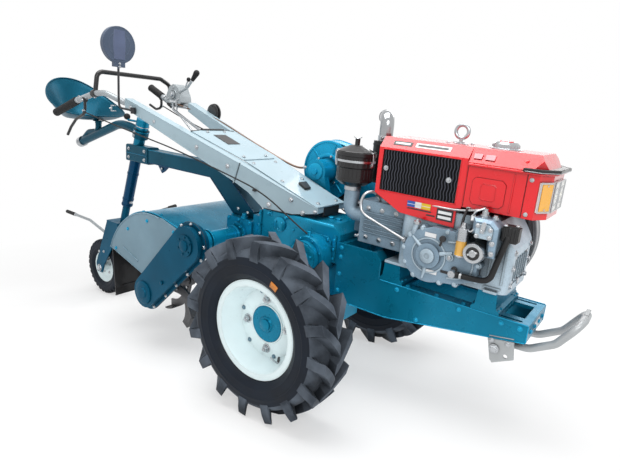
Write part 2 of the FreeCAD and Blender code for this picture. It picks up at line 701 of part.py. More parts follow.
def flywheel_levels():
    """Sideways places of the flywheel's outer face, its pulley's end and the belt guard's two edges."""
    rim = size("hood_width") / 2 + size("flywheel_clear") + size("flywheel_depth")
    guard = rim + size("guard_clear")
    return {"rim": rim, "pulley": rim + size("pulley_depth"),
            "guard_in": guard, "guard_out": guard + size("guard_depth")}


def flywheel():
    """Flywheel with its belt pulley, on a stub of the crankshaft."""
    body = new_body("flywheel")
    half = sketch(body, "YZ_Plane")
    rim_in = "hood_width / 2 + flywheel_clear"
    rim_out = rim_in + " + flywheel_depth"
    pulley_out = rim_out + " + pulley_depth"
    outline(half, [("case_left + seat_gap", "0"), (pulley_out, "0"), (pulley_out, "pulley_radius"),
                   (rim_in + " + 22", "pulley_radius"), (rim_in + " + 22", "flywheel_radius - 34"),
                   (rim_out, "flywheel_radius - 26"), (rim_out, "flywheel_radius"),
                   (rim_in, "flywheel_radius"), (rim_in, "30"), ("case_left + seat_gap", "30")])
    revolve(body, half)
    keep(body, at(size("crank_x"), 0, size("crank_z")))


def v_belts():
    """The drive belts from the engine's pulley back to the main clutch."""
    crank = (size("crank_x"), size("crank_z"))
    clutch = (size("clutch_x"), size("clutch_z"))
    inner = size("pulley_radius") + size("seat_gap")
    outer = inner + size("belt_thick")
    levels = flywheel_levels()
    low, high = levels["rim"] + 14, levels["pulley"] - 4
    loop = belt_solid(crank, outer, clutch, outer, low, high)
    keep(solid("v_belts", loop.cut(belt_solid(crank, inner, clutch, inner, low - 1, high + 1))))


def belt_guard():
    """Pressed guard round the belts: open towards the flywheel, closed round the clutch pulley."""
    crank = (size("crank_x"), size("crank_z"))
    clutch = (size("clutch_x"), size("clutch_z"))
    levels = flywheel_levels()
    low, high = levels["guard_in"], levels["guard_out"]
    skin = size("sheet")
    front, rear = size("guard_front"), size("guard_rear")
    shell = belt_solid(crank, front, clutch, rear, low, high)
    shell = shell.cut(belt_solid(crank, front - skin, clutch, rear - skin, low - 1, high - skin))
    back = Part.makeCylinder(rear, 2 * skin, V(clutch[0], low, clutch[1]), V(0, 1, 0))
    hub = Part.makeCylinder(size("pulley_radius") - 2, levels["pulley"] - low - 4,
                            V(clutch[0], low, clutch[1]), V(0, 1, 0))
    keep(solid("belt_guard", shell.fuse([back, hub]).removeSplitter()))


# ---------------------------------------------------------------- hood, tank and lamps

def hood_section(body, lift, inset):
    """The hood's section across the machine: upright sides and a bevel up to the flat top."""
    drawing = sketch(body, "YZ_Plane", lift)
    half = f"hood_width / 2 - {inset}"
    shoulder = f"hood_top - hood_bevel - 0.4142 * {inset}"
    low = "skirt_low" if inset == "0" else "skirt_low - 1"
    outline(drawing, [("-(" + half + ")", low), (half, low), (half, shoulder),
                      (f"hood_width / 2 - hood_bevel - 0.4142 * {inset}", f"hood_top - {inset}"),
                      (f"-(hood_width / 2 - hood_bevel - 0.4142 * {inset})", f"hood_top - {inset}"),
                      ("-(" + half + ")", shoulder)])
    return drawing


def radiator_hood():
    """Pressed hood over the cooling hopper, open below, with a cooling opening in each side."""
    body = new_body("radiator_hood")
    feature(body, "Pad", hood_section(body, "hood_rear", "0"), "hood_front - hood_rear")
    inside = hood_section(body, "hood_front - sheet", "sheet")
    feature(body, "Pocket", inside, "hood_front - hood_rear - 2 * sheet")
    below = sketch(body, "XZ_Plane")
    outline(below, [("hood_rear - 5", "skirt_low - 5"), ("hood_front + 5", "skirt_low - 5"),
                    ("hood_front + 5", "hood_low"), ("skirt_front", "hood_low"),
                    ("skirt_front", "skirt_low"), ("skirt_rear", "skirt_low + 12"),
                    ("hood_rear", "hood_low"), ("hood_rear - 5", "hood_low")])
    feature(body, "Pocket", below, "2 * hood_width", symmetric=True)
    window = sketch(body, "XZ_Plane")
    rectangle(window, "grille_rear", "grille_front", "grille_low", "grille_high")
    feature(body, "Pocket", window, "2 * hood_width", symmetric=True)
    keep(body)


def radiator_core():
    """Cooling hopper and condenser core, one plain block behind the hood's openings."""
    body = new_body("radiator_core")
    plan = sketch(body, "XY_Plane", "case_top")
    rectangle(plan, "hood_rear + sheet + seat_gap", "hood_front - sheet - seat_gap",
              "sheet + seat_gap - hood_width / 2", "hood_width / 2 - sheet - seat_gap")
    feature(body, "Pad", plan, "hood_top - hood_bevel - sheet - case_top")
    keep(body)


def lamp_plan(drawing, rear, grow):
    """The plan of the machine's nose, with its cut corners, from a rear line forwards."""
    half = f"(hood_width / 2 + {grow})"
    face = f"(lamp_face / 2 + 0.4 * ({grow}))"
    outline(drawing, [(rear, "-" + half), ("lamp_corner", "-" + half), (f"lamp_front + {grow}", "-" + face),
                      (f"lamp_front + {grow}", face), ("lamp_corner", half), (rear, half)])


def fuel_tank():
    """Fuel tank: a lower pan, a rolled seam that runs on over the lamps, and a domed upper half."""
    body = new_body("fuel_tank")
    pan = sketch(body, "XY_Plane", "tank_low")
    rectangle(pan, "hood_front + seat_gap", "tank_front", "-hood_width / 2", "hood_width / 2")
    feature(body, "Pad", pan, "tank_seam - tank_low")
    lip = sketch(body, "XY_Plane", "tank_seam")
    lamp_plan(lip, "hood_front + seat_gap", "seam_lip")
    feature(body, "Pad", lip, "2 * sheet")
    dome = sketch(body, "YZ_Plane", "hood_front + seat_gap")
    outline(dome, [("-hood_width / 2", "tank_seam + sheet"), ("hood_width / 2", "tank_seam + sheet"),
                   ("hood_width / 2", "tank_seam + 3 * sheet"), ("hood_width / 2 - hood_bevel", "hood_top"),
                   ("hood_bevel - hood_width / 2", "hood_top"), ("-hood_width / 2", "tank_seam + 3 * sheet")])
    feature(body, "Pad", dome, "dome_front - hood_front - seat_gap")
    nose = sketch(body, "XZ_Plane")
    outline(nose, [("dome_front + 1", "tank_seam + 3 * sheet"), ("dome_front + 1", "hood_top + 1"),
                   ("dome_front - 0.8 * hood_bevel", "hood_top + 1")])
    feature(body, "Pocket", nose, "2 * hood_width", symmetric=True)
    corners = sketch(body, "XY_Plane", "tank_seam + 2 * sheet")
    for side in ("", "-"):
        outline(corners, [("lamp_corner - 24", f"{side}(hood_width / 2 + 1)"),
                          ("dome_front + 2", f"{side}(hood_width / 2 + 1)"),
                          ("dome_front + 2", f"{side}(lamp_face / 2 + 8)")])
    feature(body, "Pocket", corners, "hood_top", reverse=True)
    keep(body)


def lamp_visor():
    """Visor on the tank's seam over the lamps, following the cut corners."""
    body = new_body("lamp_visor")
    plan = sketch(body, "XY_Plane", "tank_seam + 2 * sheet + seat_gap")
    lamp_plan(plan, "dome_front - 60", "visor_reach")
    feature(body, "Pad", plan, "visor_thick")
    inner = sketch(body, "XY_Plane", "tank_seam + 2 * sheet + seat_gap")
    rear, front = "dome_front - 61", "dome_front + 0.5"
    half, corner = "(hood_width / 2 + 1.5)", "(lamp_face / 2 + 11)"
    outline(inner, [(rear, "-" + half), ("lamp_corner - 23", "-" + half), (front, "-" + corner),
                    (front, corner), ("lamp_corner - 23", half), (rear, half)])
    feature(body, "Pocket", inner, "2 * visor_thick", symmetric=True)
    keep(body)


def fuel_cap():
    cap = fuse("fuel_cap", [
        rod("cap_skirt", ("cap_x", "0", "hood_top + seat_gap"), "cap_radius", "0.7 * cap_height"),
        cone("cap_crown", ("cap_x", "0", "hood_top + seat_gap + 0.7 * cap_height"), "cap_radius",
             "0.8 * cap_radius", "0.3 * cap_height")])
    keep(cap)


def lamp_housing():
    """Lamp housing in front of the tank and under its seam, with cut corners."""
    body = new_body("lamp_housing")
    plan = sketch(body, "XY_Plane", "tank_low")
    lamp_plan(plan, "tank_front + seat_gap", "0")
    feature(body, "Pad", plan, "tank_seam - tank_low - seat_gap")
    keep(body)


def front_lamps():
    """Clear headlamp across the front face and an amber lamp on each cut corner."""
    low, high, deep = size("lens_low"), size("lens_high"), size("lens_depth")
    front, half = size("lamp_front"), size("lamp_face") / 2
    corner, side = size("lamp_corner"), size("hood_width") / 2
    lamps = [Part.makeBox(deep, 2 * half - 8, high - low, V(front, 4 - half, low))]
    outward = V(side - half, front - corner, 0).normalize()
    for mirror in (-1, 1):
        # the cut corner runs from (front, half) outwards and back to (corner, side)
        start = V(front - 0.06 * (front - corner), mirror * (half + 0.06 * (side - half)), low)
        end = V(front - 0.94 * (front - corner), mirror * (half + 0.94 * (side - half)), low)
        normal = V(outward.x, mirror * outward.y, 0) * deep
        face = Part.Face(Part.makePolygon([start, end, end + normal, start + normal, start]))
        lamps.append(face.extrude(V(0, 0, high - low)))
    keep(solid("front_lamps", Part.Compound(lamps)))


# ---------------------------------------------------------------- air cleaner, exhaust, lifting eye

def air_cleaner():
    """Oil-bath air cleaner: bowl, clamp band, conical lid and wing nut."""
    body = new_body("air_cleaner")
    half = sketch(body, "XZ_Plane")
    outline(half, [("0", "0"), ("0.6 * cleaner_radius", "0"), ("0.86 * cleaner_radius", "14"),
                   ("0.86 * cleaner_radius", "62"), ("0.94 * cleaner_radius", "66"),
                   ("0.94 * cleaner_radius", "104"), ("cleaner_radius", "106"), ("cleaner_radius", "118"),
                   ("0.3 * cleaner_radius", "142"), ("0.12 * cleaner_radius", "143"),
                   ("0.12 * cleaner_radius", "cleaner_top - cleaner_low"),
                   ("0", "cleaner_top - cleaner_low")])
    revolve(body, half, "V_Axis")
    keep(body, at(size("cleaner_x"), size("cleaner_y"), size("cleaner_low")))


def muffler():
    can = rod("muffler_can", ("muffler_x", "muffler_y", "head_high + 50"), "muffler_radius",
              "muffler_top - head_high - 50")
    neck = rod("muffler_neck", ("head_rear + 22", "muffler_y", "head_high + seat_gap"), "20", "60")
    keep(fuse("muffler", [can, neck]))


def exhaust_pipe():
    """Tailpipe that rises from the muffler and turns away to the left and rear."""
    x, y, top = size("muffler_x"), size("muffler_y"), size("tailpipe_top")
    radius = size("tailpipe_radius")
    bend = 1.3 * radius
    away = V(-0.578, 0.816, 0).normalize()
    start = V(x, y, size("muffler_top") + size("seat_gap"))
    riser = Part.makeCylinder(radius, top - bend - start.z, start, V(0, 0, 1))
    section = Part.Face(Part.Wire(Part.makeCircle(radius, V(x, y, top - bend), V(0, 0, 1))))
    elbow = section.revolve(V(x, y, top - bend) + away * bend, V(-away.y, away.x, 0), 90)
    outlet = Part.makeCylinder(radius, radius, V(x, y, top) + away * bend, away)
    keep(solid("exhaust_pipe", riser.fuse([elbow, outlet])))


def lifting_eye():
    """Lifting ring on a stem in the hood's top."""
    stem = rod("eye_stem", ("eye_x", "0", "hood_top + seat_gap"), "eye_wire", "3 * eye_wire")
    collar = rod("eye_collar", ("eye_x", "0", "hood_top + seat_gap"), "2.2 * eye_wire", "eye_wire")
    centre = ("eye_x", "0", "hood_top + 3 * eye_wire + eye_radius")
    loop = ring("eye_loop", centre, "eye_radius", "eye_wire", "Y")
    keep(fuse("lifting_eye", [stem, collar, loop]))


# ---------------------------------------------------------------- gearbox and main wheels

def gearbox():
    """Gearbox casting with final drive, axle housings, steering drums and the main clutch arm."""
    body = new_body("gearbox")
    upper = sketch(body, "XZ_Plane")
    outline(upper, [("box_rear", "box_sill"), ("box_front", "box_sill"),
                    ("box_front", "box_top - 30"), ("box_front - 40", "box_top"),
                    ("box_rear + 20", "box_top"), ("box_rear", "box_top - 20")])
    base = feature(body, "Pad", upper, "box_width", symmetric=True)
    dress(body, "Fillet", base, "12", runs_along(V(1, 0, 0)))
    final = sketch(body, "XZ_Plane")
    outline(final, [("-0.75 * final_length", "box_sill + 10"),
                    ("-0.5 * final_length", "wheel_radius - axle_flange"),
                    ("0.5 * final_length", "wheel_radius - axle_flange"),
                    ("box_front - 10", "box_sill + 10")])
    feature(body, "Pad", final, "final_width", symmetric=True)
    for across, up, radius, width in (
            ("0", "wheel_radius", "axle_flange", "final_width + 4 * plate"),
            ("0", "wheel_radius", "axle_tube", "2 * axle_tube_end"),
            ("drum_x", "drum_z", "drum_radius", "2 * drum_reach"),
            ("drum_x", "drum_z", "drum_flange", "2 * drum_reach - 6 * plate")):
        round_case = sketch(body, "XZ_Plane")
        circle(round_case, across, up, radius)
        feature(body, "Pad", round_case, width, symmetric=True)
    shaft_bore = sketch(body, "XZ_Plane")
    circle(shaft_bore, "0", "wheel_radius", "axle_radius + seat_gap")
    feature(body, "Pocket", shaft_bore, "3 * axle_tube_end", symmetric=True)
    core = sketch(body, "XZ_Plane")
    circle(core, "0", "wheel_radius", "axle_tube")
    feature(body, "Pad", core, "final_width", symmetric=True)
    keep(body)


def clutch_bracket():
    """Cast arm from the gearbox's left side up to the main clutch bearing."""
    foot = (size("box_rear") + 150, size("box_top") - 60)
    clutch = (size("clutch_x"), size("clutch_z"))
    low, high = size("box_width") / 2, flywheel_levels()["guard_in"] - size("seat_gap")
    pad_radius, pad_depth, arm_depth = 46, 12, 32
    web = low + pad_depth
    arm = belt_solid(foot, pad_radius, clutch, size("clutch_boss") - 8, web, web + arm_depth)
    pad = Part.makeCylinder(pad_radius, pad_depth, V(foot[0], low, foot[1]), V(0, 1, 0))
    boss = Part.makeCylinder(size("clutch_boss"), high - web, V(clutch[0], web, clutch[1]), V(0, 1, 0))
    keep(solid("clutch_bracket", arm.fuse([pad, boss]).removeSplitter()))


def wheel_place(side):
    facing = Turn(V(0, 0, 1), 0 if side > 0 else 180)
    return at(0, side * size("wheel_track") / 2, size("wheel_radius"), facing)


def main_tyre(name, side):
    """Tyre envelope over the lugs, revolved about the axle."""
    body = new_body(name + "_tyre")
    half = sketch(body, "YZ_Plane")
    inside = "0.5 * rim_width - 5.3"
    shoulder = "wheel_radius - shoulder_drop"
    outline(half, [(f"-({inside})", "bead_radius"), (inside, "bead_radius"), (inside, "rim_flange"),
                   ("0.5 * tyre_width", "bead_radius + 66"), ("0.5 * tyre_width", shoulder),
                   ("0.5 * tread_width", "wheel_radius"), ("-0.5 * tread_width", "wheel_radius"),
                   ("-0.5 * tyre_width", shoulder), ("-0.5 * tyre_width", "bead_radius + 66"),
                   (f"-({inside})", "rim_flange")])
    revolve(body, half)
    keep(body, wheel_place(side))


def main_rim(name, side):
    """Pressed rim and dished disc, revolved about the axle; its outer side is local +Y."""
    body = new_body(name + "_rim")
    half = sketch(body, "YZ_Plane")
    face = "0.5 * rim_width - dish_depth"
    outline(half, [("-0.5 * rim_width", "bead_radius - 8"), (f"{face} - dish_skin", "bead_radius - 12"),
                   (f"{face} - dish_skin", "hub_bore"), (face, "hub_bore"), (face, "bead_radius - 34"),
                   ("0.5 * rim_width", "bead_radius - 6"), ("0.5 * rim_width", "rim_flange"),
                   ("0.5 * rim_width - 5", "rim_flange"), ("0.5 * rim_width - 5", "bead_radius - seat_gap"),
                   ("-0.5 * rim_width + 5", "bead_radius - seat_gap"),
                   ("-0.5 * rim_width + 5", "rim_flange"), ("-0.5 * rim_width", "rim_flange")])
    revolve(body, half)
    keep(body, wheel_place(side))


def main_hub(name, side):
    """Hub flange and sleeve on the axle shaft, which runs into the axle housing's bore."""
    body = new_body(name + "_hub")
    half = sketch(body, "YZ_Plane")
    face = "0.5 * rim_width - dish_depth"
    inner_end = "axle_tube_end + 2 * plate - wheel_track / 2"
    flange, cap = f"{face} + dish_skin", f"{face} + 2 * dish_skin"
    outline(half, [("final_width / 2 + plate - wheel_track / 2", "0"), (cap, "0"),
                   (cap, "axle_radius + 7"), (flange, "axle_radius + 11"),
                   (flange, "hub_radius - 4"), (f"{face} + 2", "hub_radius"),
                   (face, "hub_radius"), (face, "hub_bore - seat_gap"),
                   (inner_end, "hub_bore - seat_gap"), (inner_end, "axle_radius"),
                   ("final_width / 2 + plate - wheel_track / 2", "axle_radius")])
    revolve(body, half)
    keep(body, wheel_place(side))


# ---------------------------------------------------------------- handle

def arm_place(side):
    """The arms spread from the nose of the handle towards the rear."""
    return at(size("arm_front"), side * (size("arm_front_half") - size("arm_width") / 2), 0,
              Turn(V(0, 0, 1), -side * size("arm_spread")))


def handle_arm(name, side):
    """Box arm with a deep foot over the gearbox and a slim rear half, drawn from its own front end."""
    body = new_body(name)
    profile = sketch(body, "XZ_Plane")
    heel, knee, end = "arm_heel - arm_front", "arm_knee - arm_front", "arm_end - arm_front"
    outline(profile, [("0", "arm_nose_low"), ("-121", "box_top + seat_gap"), (heel, "box_top + seat_gap"),
                      (f"{heel} - 80", "box_top + 52"), (knee, "arm_knee_low"), (end, "arm_end_low"),
                      (end, "arm_end_top"), (knee, "arm_knee_top"), ("0", "arm_nose_top")])
    feature(body, "Pad", profile, "arm_width", symmetric=True)
    keep(body, arm_place(side))


def handle_cover():
    """Wedge cover between the arms: flat over the nose, a ridge behind, and a fold down to each arm."""
    skin = size("sheet")
    slope = (size("arm_knee_top") - size("arm_nose_top")) / (size("arm_front") - size("arm_knee"))
    lift = size("seat_gap") + slope * size("arm_width") / 2 * math.sin(math.radians(size("arm_spread")))
    front, rear = size("arm_front"), size("lid_rear")
    knee = front + (size("arm_knee") - front) * math.cos(math.radians(size("arm_spread")))
    nose_half = size("arm_front_half")
    knee_half = nose_half - size("arm_width") + math.tan(math.radians(size("arm_spread"))) * (front - knee)
    nose = V(front, nose_half, size("arm_nose_top") + lift)
    knee_edge = V(knee, knee_half, size("arm_knee_top") + lift)
    rear_edge = V(rear, size("lid_rear_half"), size("lid_rear_z"))
    rise = (size("arm_end_top") - size("arm_knee_top")) / (size("arm_knee") - size("arm_end"))
    fold = V(rear, knee_half + math.tan(math.radians(size("arm_spread"))) * (knee - rear) + skin,
             size("arm_knee_top") + rise * (size("arm_knee") - rear) + lift)
    outlines = [[upper, V(upper.x, -upper.y, upper.z), V(lower.x, -lower.y, lower.z), lower]
                for upper, lower in ((nose, knee_edge), (knee_edge, rear_edge))]
    outlines += [[V(corner.x, side * corner.y, corner.z) for corner in (knee_edge, rear_edge, fold)]
                 for side in (-1, 1)]
    sheets = [Part.Face(Part.makePolygon(corners + corners[:1])).extrude(V(0, 0, skin))
              for corners in outlines]
    keep(solid("handle_cover", sheets[0].fuse(sheets[1:]).removeSplitter()))


def arm_end_point(side):
    """Middle of an arm's rear end face."""
    reach = size("arm_end") - size("arm_front")
    height = (size("arm_end_low") + size("arm_end_top")) / 2
    return arm_place(side).multVec(V(reach - 3 * size("seat_gap"), 0, height))


# each handlebar tube's bends behind its arm, and the run of the steering lever under it
RIGHT_BAR = [(-1239, -240, 1042), (-1328, -240, 1035), (-1491, -240, 992), (-1714, -240, 914)]
LEFT_BAR = [(-1328, 210, 1007), (-1401, 210, 1041), (-1510, 210, 1085)]
RIGHT_LEVER = [(-1417, -244, 1004), (-1417, -245, 932), (-1507, -245, 894), (-1560, -245, 850),
               (-1597, -245, 806)]
LEFT_LEVER = [(-1420, 212, 1040), (-1420, 214, 980), (-1470, 214, 968), (-1530, 214, 990)]
BAR_BEND = 60


def handlebar_route(side):
    """Centre line of a handlebar tube, from the arm's end face back to the end of its grip."""
    start = arm_end_point(side)
    lean = math.radians(size("arm_spread"))
    straight = 28
    leave = start + V(-straight * math.cos(lean), side * straight * math.sin(lean), 0)
    return [tuple(start), tuple(leave)] + (LEFT_BAR if side > 0 else RIGHT_BAR)


def handlebars():
    """A long lowered bar on the right and a short raised one on the left, each with a rubber grip."""
    bars = []
    for side in (-1, 1):
        route = handlebar_route(side)
        bar = tube(route, size("bar_radius"), BAR_BEND)
        start, end = V(*route[-2]), V(*route[-1])
        grip_start = start + (end - start) * 0.06
        grip = Part.makeCylinder(size("grip_radius"), (end - grip_start).Length + 6, grip_start, end - start)
        bars.append(bar.fuse(grip))
    keep(solid("handlebars", Part.Compound(bars)))


def beside_bars(item, bar_radius):
    """The largest piece of a solid that is left clear of both handlebars."""
    clear = [tube(handlebar_route(side), bar_radius + size("seat_gap"), BAR_BEND) for side in (-1, 1)]
    return max(item.cut(clear).Solids, key=lambda piece: piece.Volume)


def cross_bar():
    """Raised bar that joins the two handlebars in front of the rider's hands."""
    x, top = size("cross_x"), size("cross_z")
    right, left = handlebar_route(-1)[3], handlebar_route(1)[2]
    path = [(x, right[1] + 2, right[2]), (x, right[1] + 15, top), (x, left[1] - 70, top - 4),
            (x, left[1] - 8, top - 34), (x, left[1], left[2])]
    bar = tube(path, size("cross_radius"), 34)
    keep(solid("cross_bar", beside_bars(bar, size("bar_radius"))))


def steering_levers():
    """Curved steering clutch lever under each grip."""
    levers = [beside_bars(tube(path, size("steer_lever"), 40), beside)
              for path, beside in ((RIGHT_LEVER, size("bar_radius")), (LEFT_LEVER, size("grip_radius")))]
    keep(solid("steering_levers", Part.Compound(levers)))


def lever_console():
    """Bell-shaped lever bracket on the left handlebar, with its upright lever."""
    x, z, reach = size("bracket_x"), size("bracket_z"), size("bracket_radius")
    middle = LEFT_BAR[0][1] - 10
    low, high = middle - 36, middle + 36
    low_z, top_z = z - 0.6 * reach, z + 0.9 * reach
    flank, shoulder, shoulder_z = 0.88 * reach, 0.52 * reach, z + 0.68 * reach
    corners = [(x - reach, low_z), (x + reach, low_z), (x + flank, z), (x + shoulder, shoulder_z),
               (x, top_z), (x - shoulder, shoulder_z), (x - flank, z)]
    bell = side_plate(corners, low, high)
    bell = bell.makeFillet(10, [edge for edge in bell.Edges if runs_along(V(0, 1, 0))(edge)])
    pivot = Part.makeCylinder(0.3 * reach, high - low + 16, V(x, low - 8, z + 4), V(0, 1, 0))
    lever = tube([(x + 20, low + 6, z + 10), (x + 108, low + 6, z + 45), (x + 155, low + 6, z + 93)],
                 size("console_rod"), 40)
    lean = V(45, 0, 52).normalize()
    foot = V(x + 150, low + 6, z + 88)
    grip = Part.makeCone(9, 15, 46, foot, lean).fuse(Part.makeSphere(15, foot + lean * 48))
    keep(solid("lever_console", beside_bars(bell.fuse([pivot, lever, grip]), size("bar_radius"))))


def control_rods():
    """Two rods from the lever bracket: one to the top cover's rear edge, one down to the drive box."""
    x, z = size("bracket_x"), size("bracket_z")
    low_z = z - 0.6 * size("bracket_radius") - size("seat_gap")
    thick, thin = size("console_rod"), size("console_rod") - 2
    hook_z = size("lid_rear_z") - thick - size("seat_gap")
    inner = LEFT_BAR[0][1] - 36
    upper = tube([(x - 12, inner, low_z), (x - 12, inner, low_z - 34), (-800, 5, 893),
                  (size("lid_rear") - 4, 5, hook_z)], thick, 24)
    side = size("drive_box_width") / 2 + thin + size("seat_gap")
    lower = tube([(x + 16, inner + 4, low_z), (x + 16, inner + 4, low_z - 44), (-560, side + 16, 590),
                  (-520, side, 546)], thin, 24)
    keep(solid("control_rods", Part.Compound([upper, lower])))


def mirror():
    """Round mirror on a bent rod that is clamped to the right arm's end."""
    x, y, z = size("mirror_x"), size("mirror_y"), size("mirror_z")
    rod_radius = size("mirror_rod")
    grip = 11
    foot = arm_place(-1).multVec(V(size("arm_end") - size("arm_front") + 70,
                                   -size("arm_width") / 2 - grip - size("seat_gap"), size("arm_end_low") - 6))
    path = [(foot.x, foot.y, foot.z), (x + 6, y, foot.z + 8), (x, y, foot.z + 40), (x, y, z - 60)]
    stalk = tube(path, rod_radius, 18)
    head = Part.makeCylinder(size("mirror_radius"), 22, V(x + 11, y, z), V(-1, 0, 0))
    neck = Part.makeBox(18, 56, 40, V(x - 7, y - 28, z - size("mirror_radius") - 16))
    clamp = Part.makeCylinder(grip, 28, foot - V(0, 0, 14), V(0, 0, 1))
    keep(solid("mirror", stalk.fuse([head, neck, clamp])))


def horn():
    """Ribbed round horn on the outer side of the left handle arm."""
    body = new_body("horn")
    half = sketch(body, "YZ_Plane")
    outline(half, [("0", "0"), ("30", "0"), ("30", "0.4 * horn_radius"), ("26", "0.9 * horn_radius"),
                   ("20", "horn_radius"), ("14", "horn_radius"), ("12", "0.84 * horn_radius"),
                   ("9", "0.84 * horn_radius"), ("7", "0.94 * horn_radius"), ("3", "0.94 * horn_radius"),
                   ("0", "0.7 * horn_radius")])
    revolve(body, half)
    spread = math.cos(math.radians(size("arm_spread")))
    along, outside = (size("horn_x") - size("arm_front")) / spread, size("arm_width") / 2 + size("seat_gap")
    keep(body, arm_place(1).multiply(at(along, outside, size("horn_z"))))


def control_cables():
    """Steering clutch cables from the levers forward to the drums."""
    radius = size("cable_radius")
    beside = size("steer_lever") + radius + size("seat_gap")
    top = size("drum_z") + size("drum_flange") + radius + size("seat_gap")
    drum_x, drum_y = size("drum_x"), size("drum_reach") - 36
    right = [(RIGHT_LEVER[1][0], RIGHT_LEVER[1][1] - beside, 940), (-1243, -240, 908), (-888, -226, 856),
             (-744, -212, 833), (-455, -190, 773), (-240, -182, 728), (-70, -176, 636),
             (drum_x, -drum_y, top)]
    left = [(LEFT_LEVER[1][0], LEFT_LEVER[1][1] + beside, 990), (-1243, 238, 928), (-888, 216, 856),
            (-700, 198, 812), (-474, 186, 746), (-300, 178, 712), (-130, 174, 672), (drum_x, drum_y, top)]
    cables = [tube(route, radius) for route in (right, left)]
    keep(solid("control_cables", Part.Compound(cables)))


# ---------------------------------------------------------------- tiller

def tiller_drive():
    """Tiller drive box behind the gearbox, its cross tubes and the left support arm."""
    tube_x, tube_z = size("cross_tube_x"), size("cross_tube_z")
    half, radius = size("tiller_half"), size("cross_tube_radius")
    low, high = size("drive_box_low"), size("drive_box_top")
    rear, front, width = size("drive_box_rear"), size("drive_box_front"), size("drive_box_width")
    box = Part.makeBox(front - rear, width, high - low, V(rear, -width / 2, low))
    box = box.makeFillet(14, [edge for edge in box.Edges if runs_along(V(0, 1, 0))(edge)])
    neck = Part.makeBox(size("box_rear") - front, width - 20, 110,
                        V(front, -width / 2 + 10, size("box_sill") - 20))
    cross = Part.makeCylinder(radius, 2 * half, V(tube_x, -half, tube_z), V(0, 1, 0))
    collars = [Part.makeCylinder(radius + 20, 14, V(tube_x, level, tube_z), V(0, 1, 0))
               for level in (-half, -width / 2 - 14, width / 2, half - 14)]
    arm = belt_solid((tube_x, tube_z), radius + 22, (size("rotor_x"), size("rotor_z")), 58, half, half + 14)
    keep(solid("tiller_drive", box.fuse([neck, cross, arm] + collars).removeSplitter()))


def chain_case():
    """Oil-tight chain case on the tiller's right side, wrapped round its two sprockets."""
    top = (size("cross_tube_x") - 10, size("cross_tube_z") - 4)
    low = (size("rotor_x"), size("rotor_z"))
    inner = -size("tiller_half")
    outer = inner - size("chain_depth")
    top_radius, low_radius = size("chain_top_radius"), size("chain_low_radius")
    stand_out = size("chain_flange")
    case = belt_solid(top, top_radius, low, low_radius, outer, inner)
    rim = belt_solid(top, top_radius + stand_out, low, low_radius + stand_out, outer + 24, outer + 36)
    lid = Part.makeCylinder(0.56 * top_radius, 6, V(top[0], outer - 6, top[1]), V(0, 1, 0))
    keep(solid("chain_case", case.fuse([rim, lid]).removeSplitter()))


def hood_point(angle, radius):
    return (size("arc_x") + radius * math.cos(math.radians(angle)),
            size("arc_z") + radius * math.sin(math.radians(angle)))


HOOD_REAR_ANGLE = 160
HOOD_FRONT_ANGLE = 78


def tiller_hood():
    """Rolled hood over the tiller: an arc above the tiller shaft with a straight lead to the drive box."""
    radius, skin = size("hood_radius"), size("sheet")
    half = size("tiller_half") - 3 * skin
    middle = (HOOD_REAR_ANGLE + HOOD_FRONT_ANGLE) / 2
    slope = math.radians(HOOD_FRONT_ANGLE)
    lead_end = size("drive_box_rear") - size("seat_gap")

    def at_level(point):
        return V(point[0], -half, point[1])

    def lead(reach):
        x, z = hood_point(HOOD_FRONT_ANGLE, reach)
        return V(lead_end, -half, z - (lead_end - x) / math.tan(slope))

    edges = []
    inner, outer = radius - skin, radius
    edges.append(Part.Arc(at_level(hood_point(HOOD_REAR_ANGLE, outer)), at_level(hood_point(middle, outer)),
                          at_level(hood_point(HOOD_FRONT_ANGLE, outer))).toShape())
    edges.append(Part.LineSegment(at_level(hood_point(HOOD_FRONT_ANGLE, outer)), lead(outer)).toShape())
    edges.append(Part.LineSegment(lead(outer), lead(inner)).toShape())
    edges.append(Part.LineSegment(lead(inner), at_level(hood_point(HOOD_FRONT_ANGLE, inner))).toShape())
    edges.append(Part.Arc(at_level(hood_point(HOOD_FRONT_ANGLE, inner)), at_level(hood_point(middle, inner)),
                          at_level(hood_point(HOOD_REAR_ANGLE, inner))).toShape())
    edges.append(Part.LineSegment(at_level(hood_point(HOOD_REAR_ANGLE, inner)),
                                  at_level(hood_point(HOOD_REAR_ANGLE, outer))).toShape())
    keep(solid("tiller_hood", Part.Face(Part.Wire(edges)).extrude(V(0, 2 * half, 0))))


def side_shields():
    """Flat shields that close both ends of the tiller hood."""
    half, skin = size("tiller_half"), size("sheet")
    rear = hood_point(HOOD_REAR_ANGLE, size("hood_radius"))
    crown = [hood_point(angle, size("hood_radius")) for angle in (140, 120, 100, HOOD_FRONT_ANGLE)]
    corners = [rear] + crown + [(-600, 500), (-590, 440), (-860, 236)]
    plates = [side_plate(corners, low, low + 2 * skin)
              for low in (-half + size("seat_gap"), half - 2 * skin - size("seat_gap"))]
    keep(solid("side_shields", Part.Compound(plates)))


def stance_pitch():
    """Angle, in degrees, by which the machine parks nose down on its tail wheel."""
    reach = -size("tail_x")
    drop = size("wheel_radius") - size("tail_z")
    fall = (size("wheel_radius") - size("tail_radius")) / math.hypot(reach, drop)
    return math.degrees(math.atan2(drop, reach) - math.asin(fall))


def flap_hinge():
    return hood_point(HOOD_REAR_ANGLE, size("hood_radius") + 5 + size("seat_gap"))


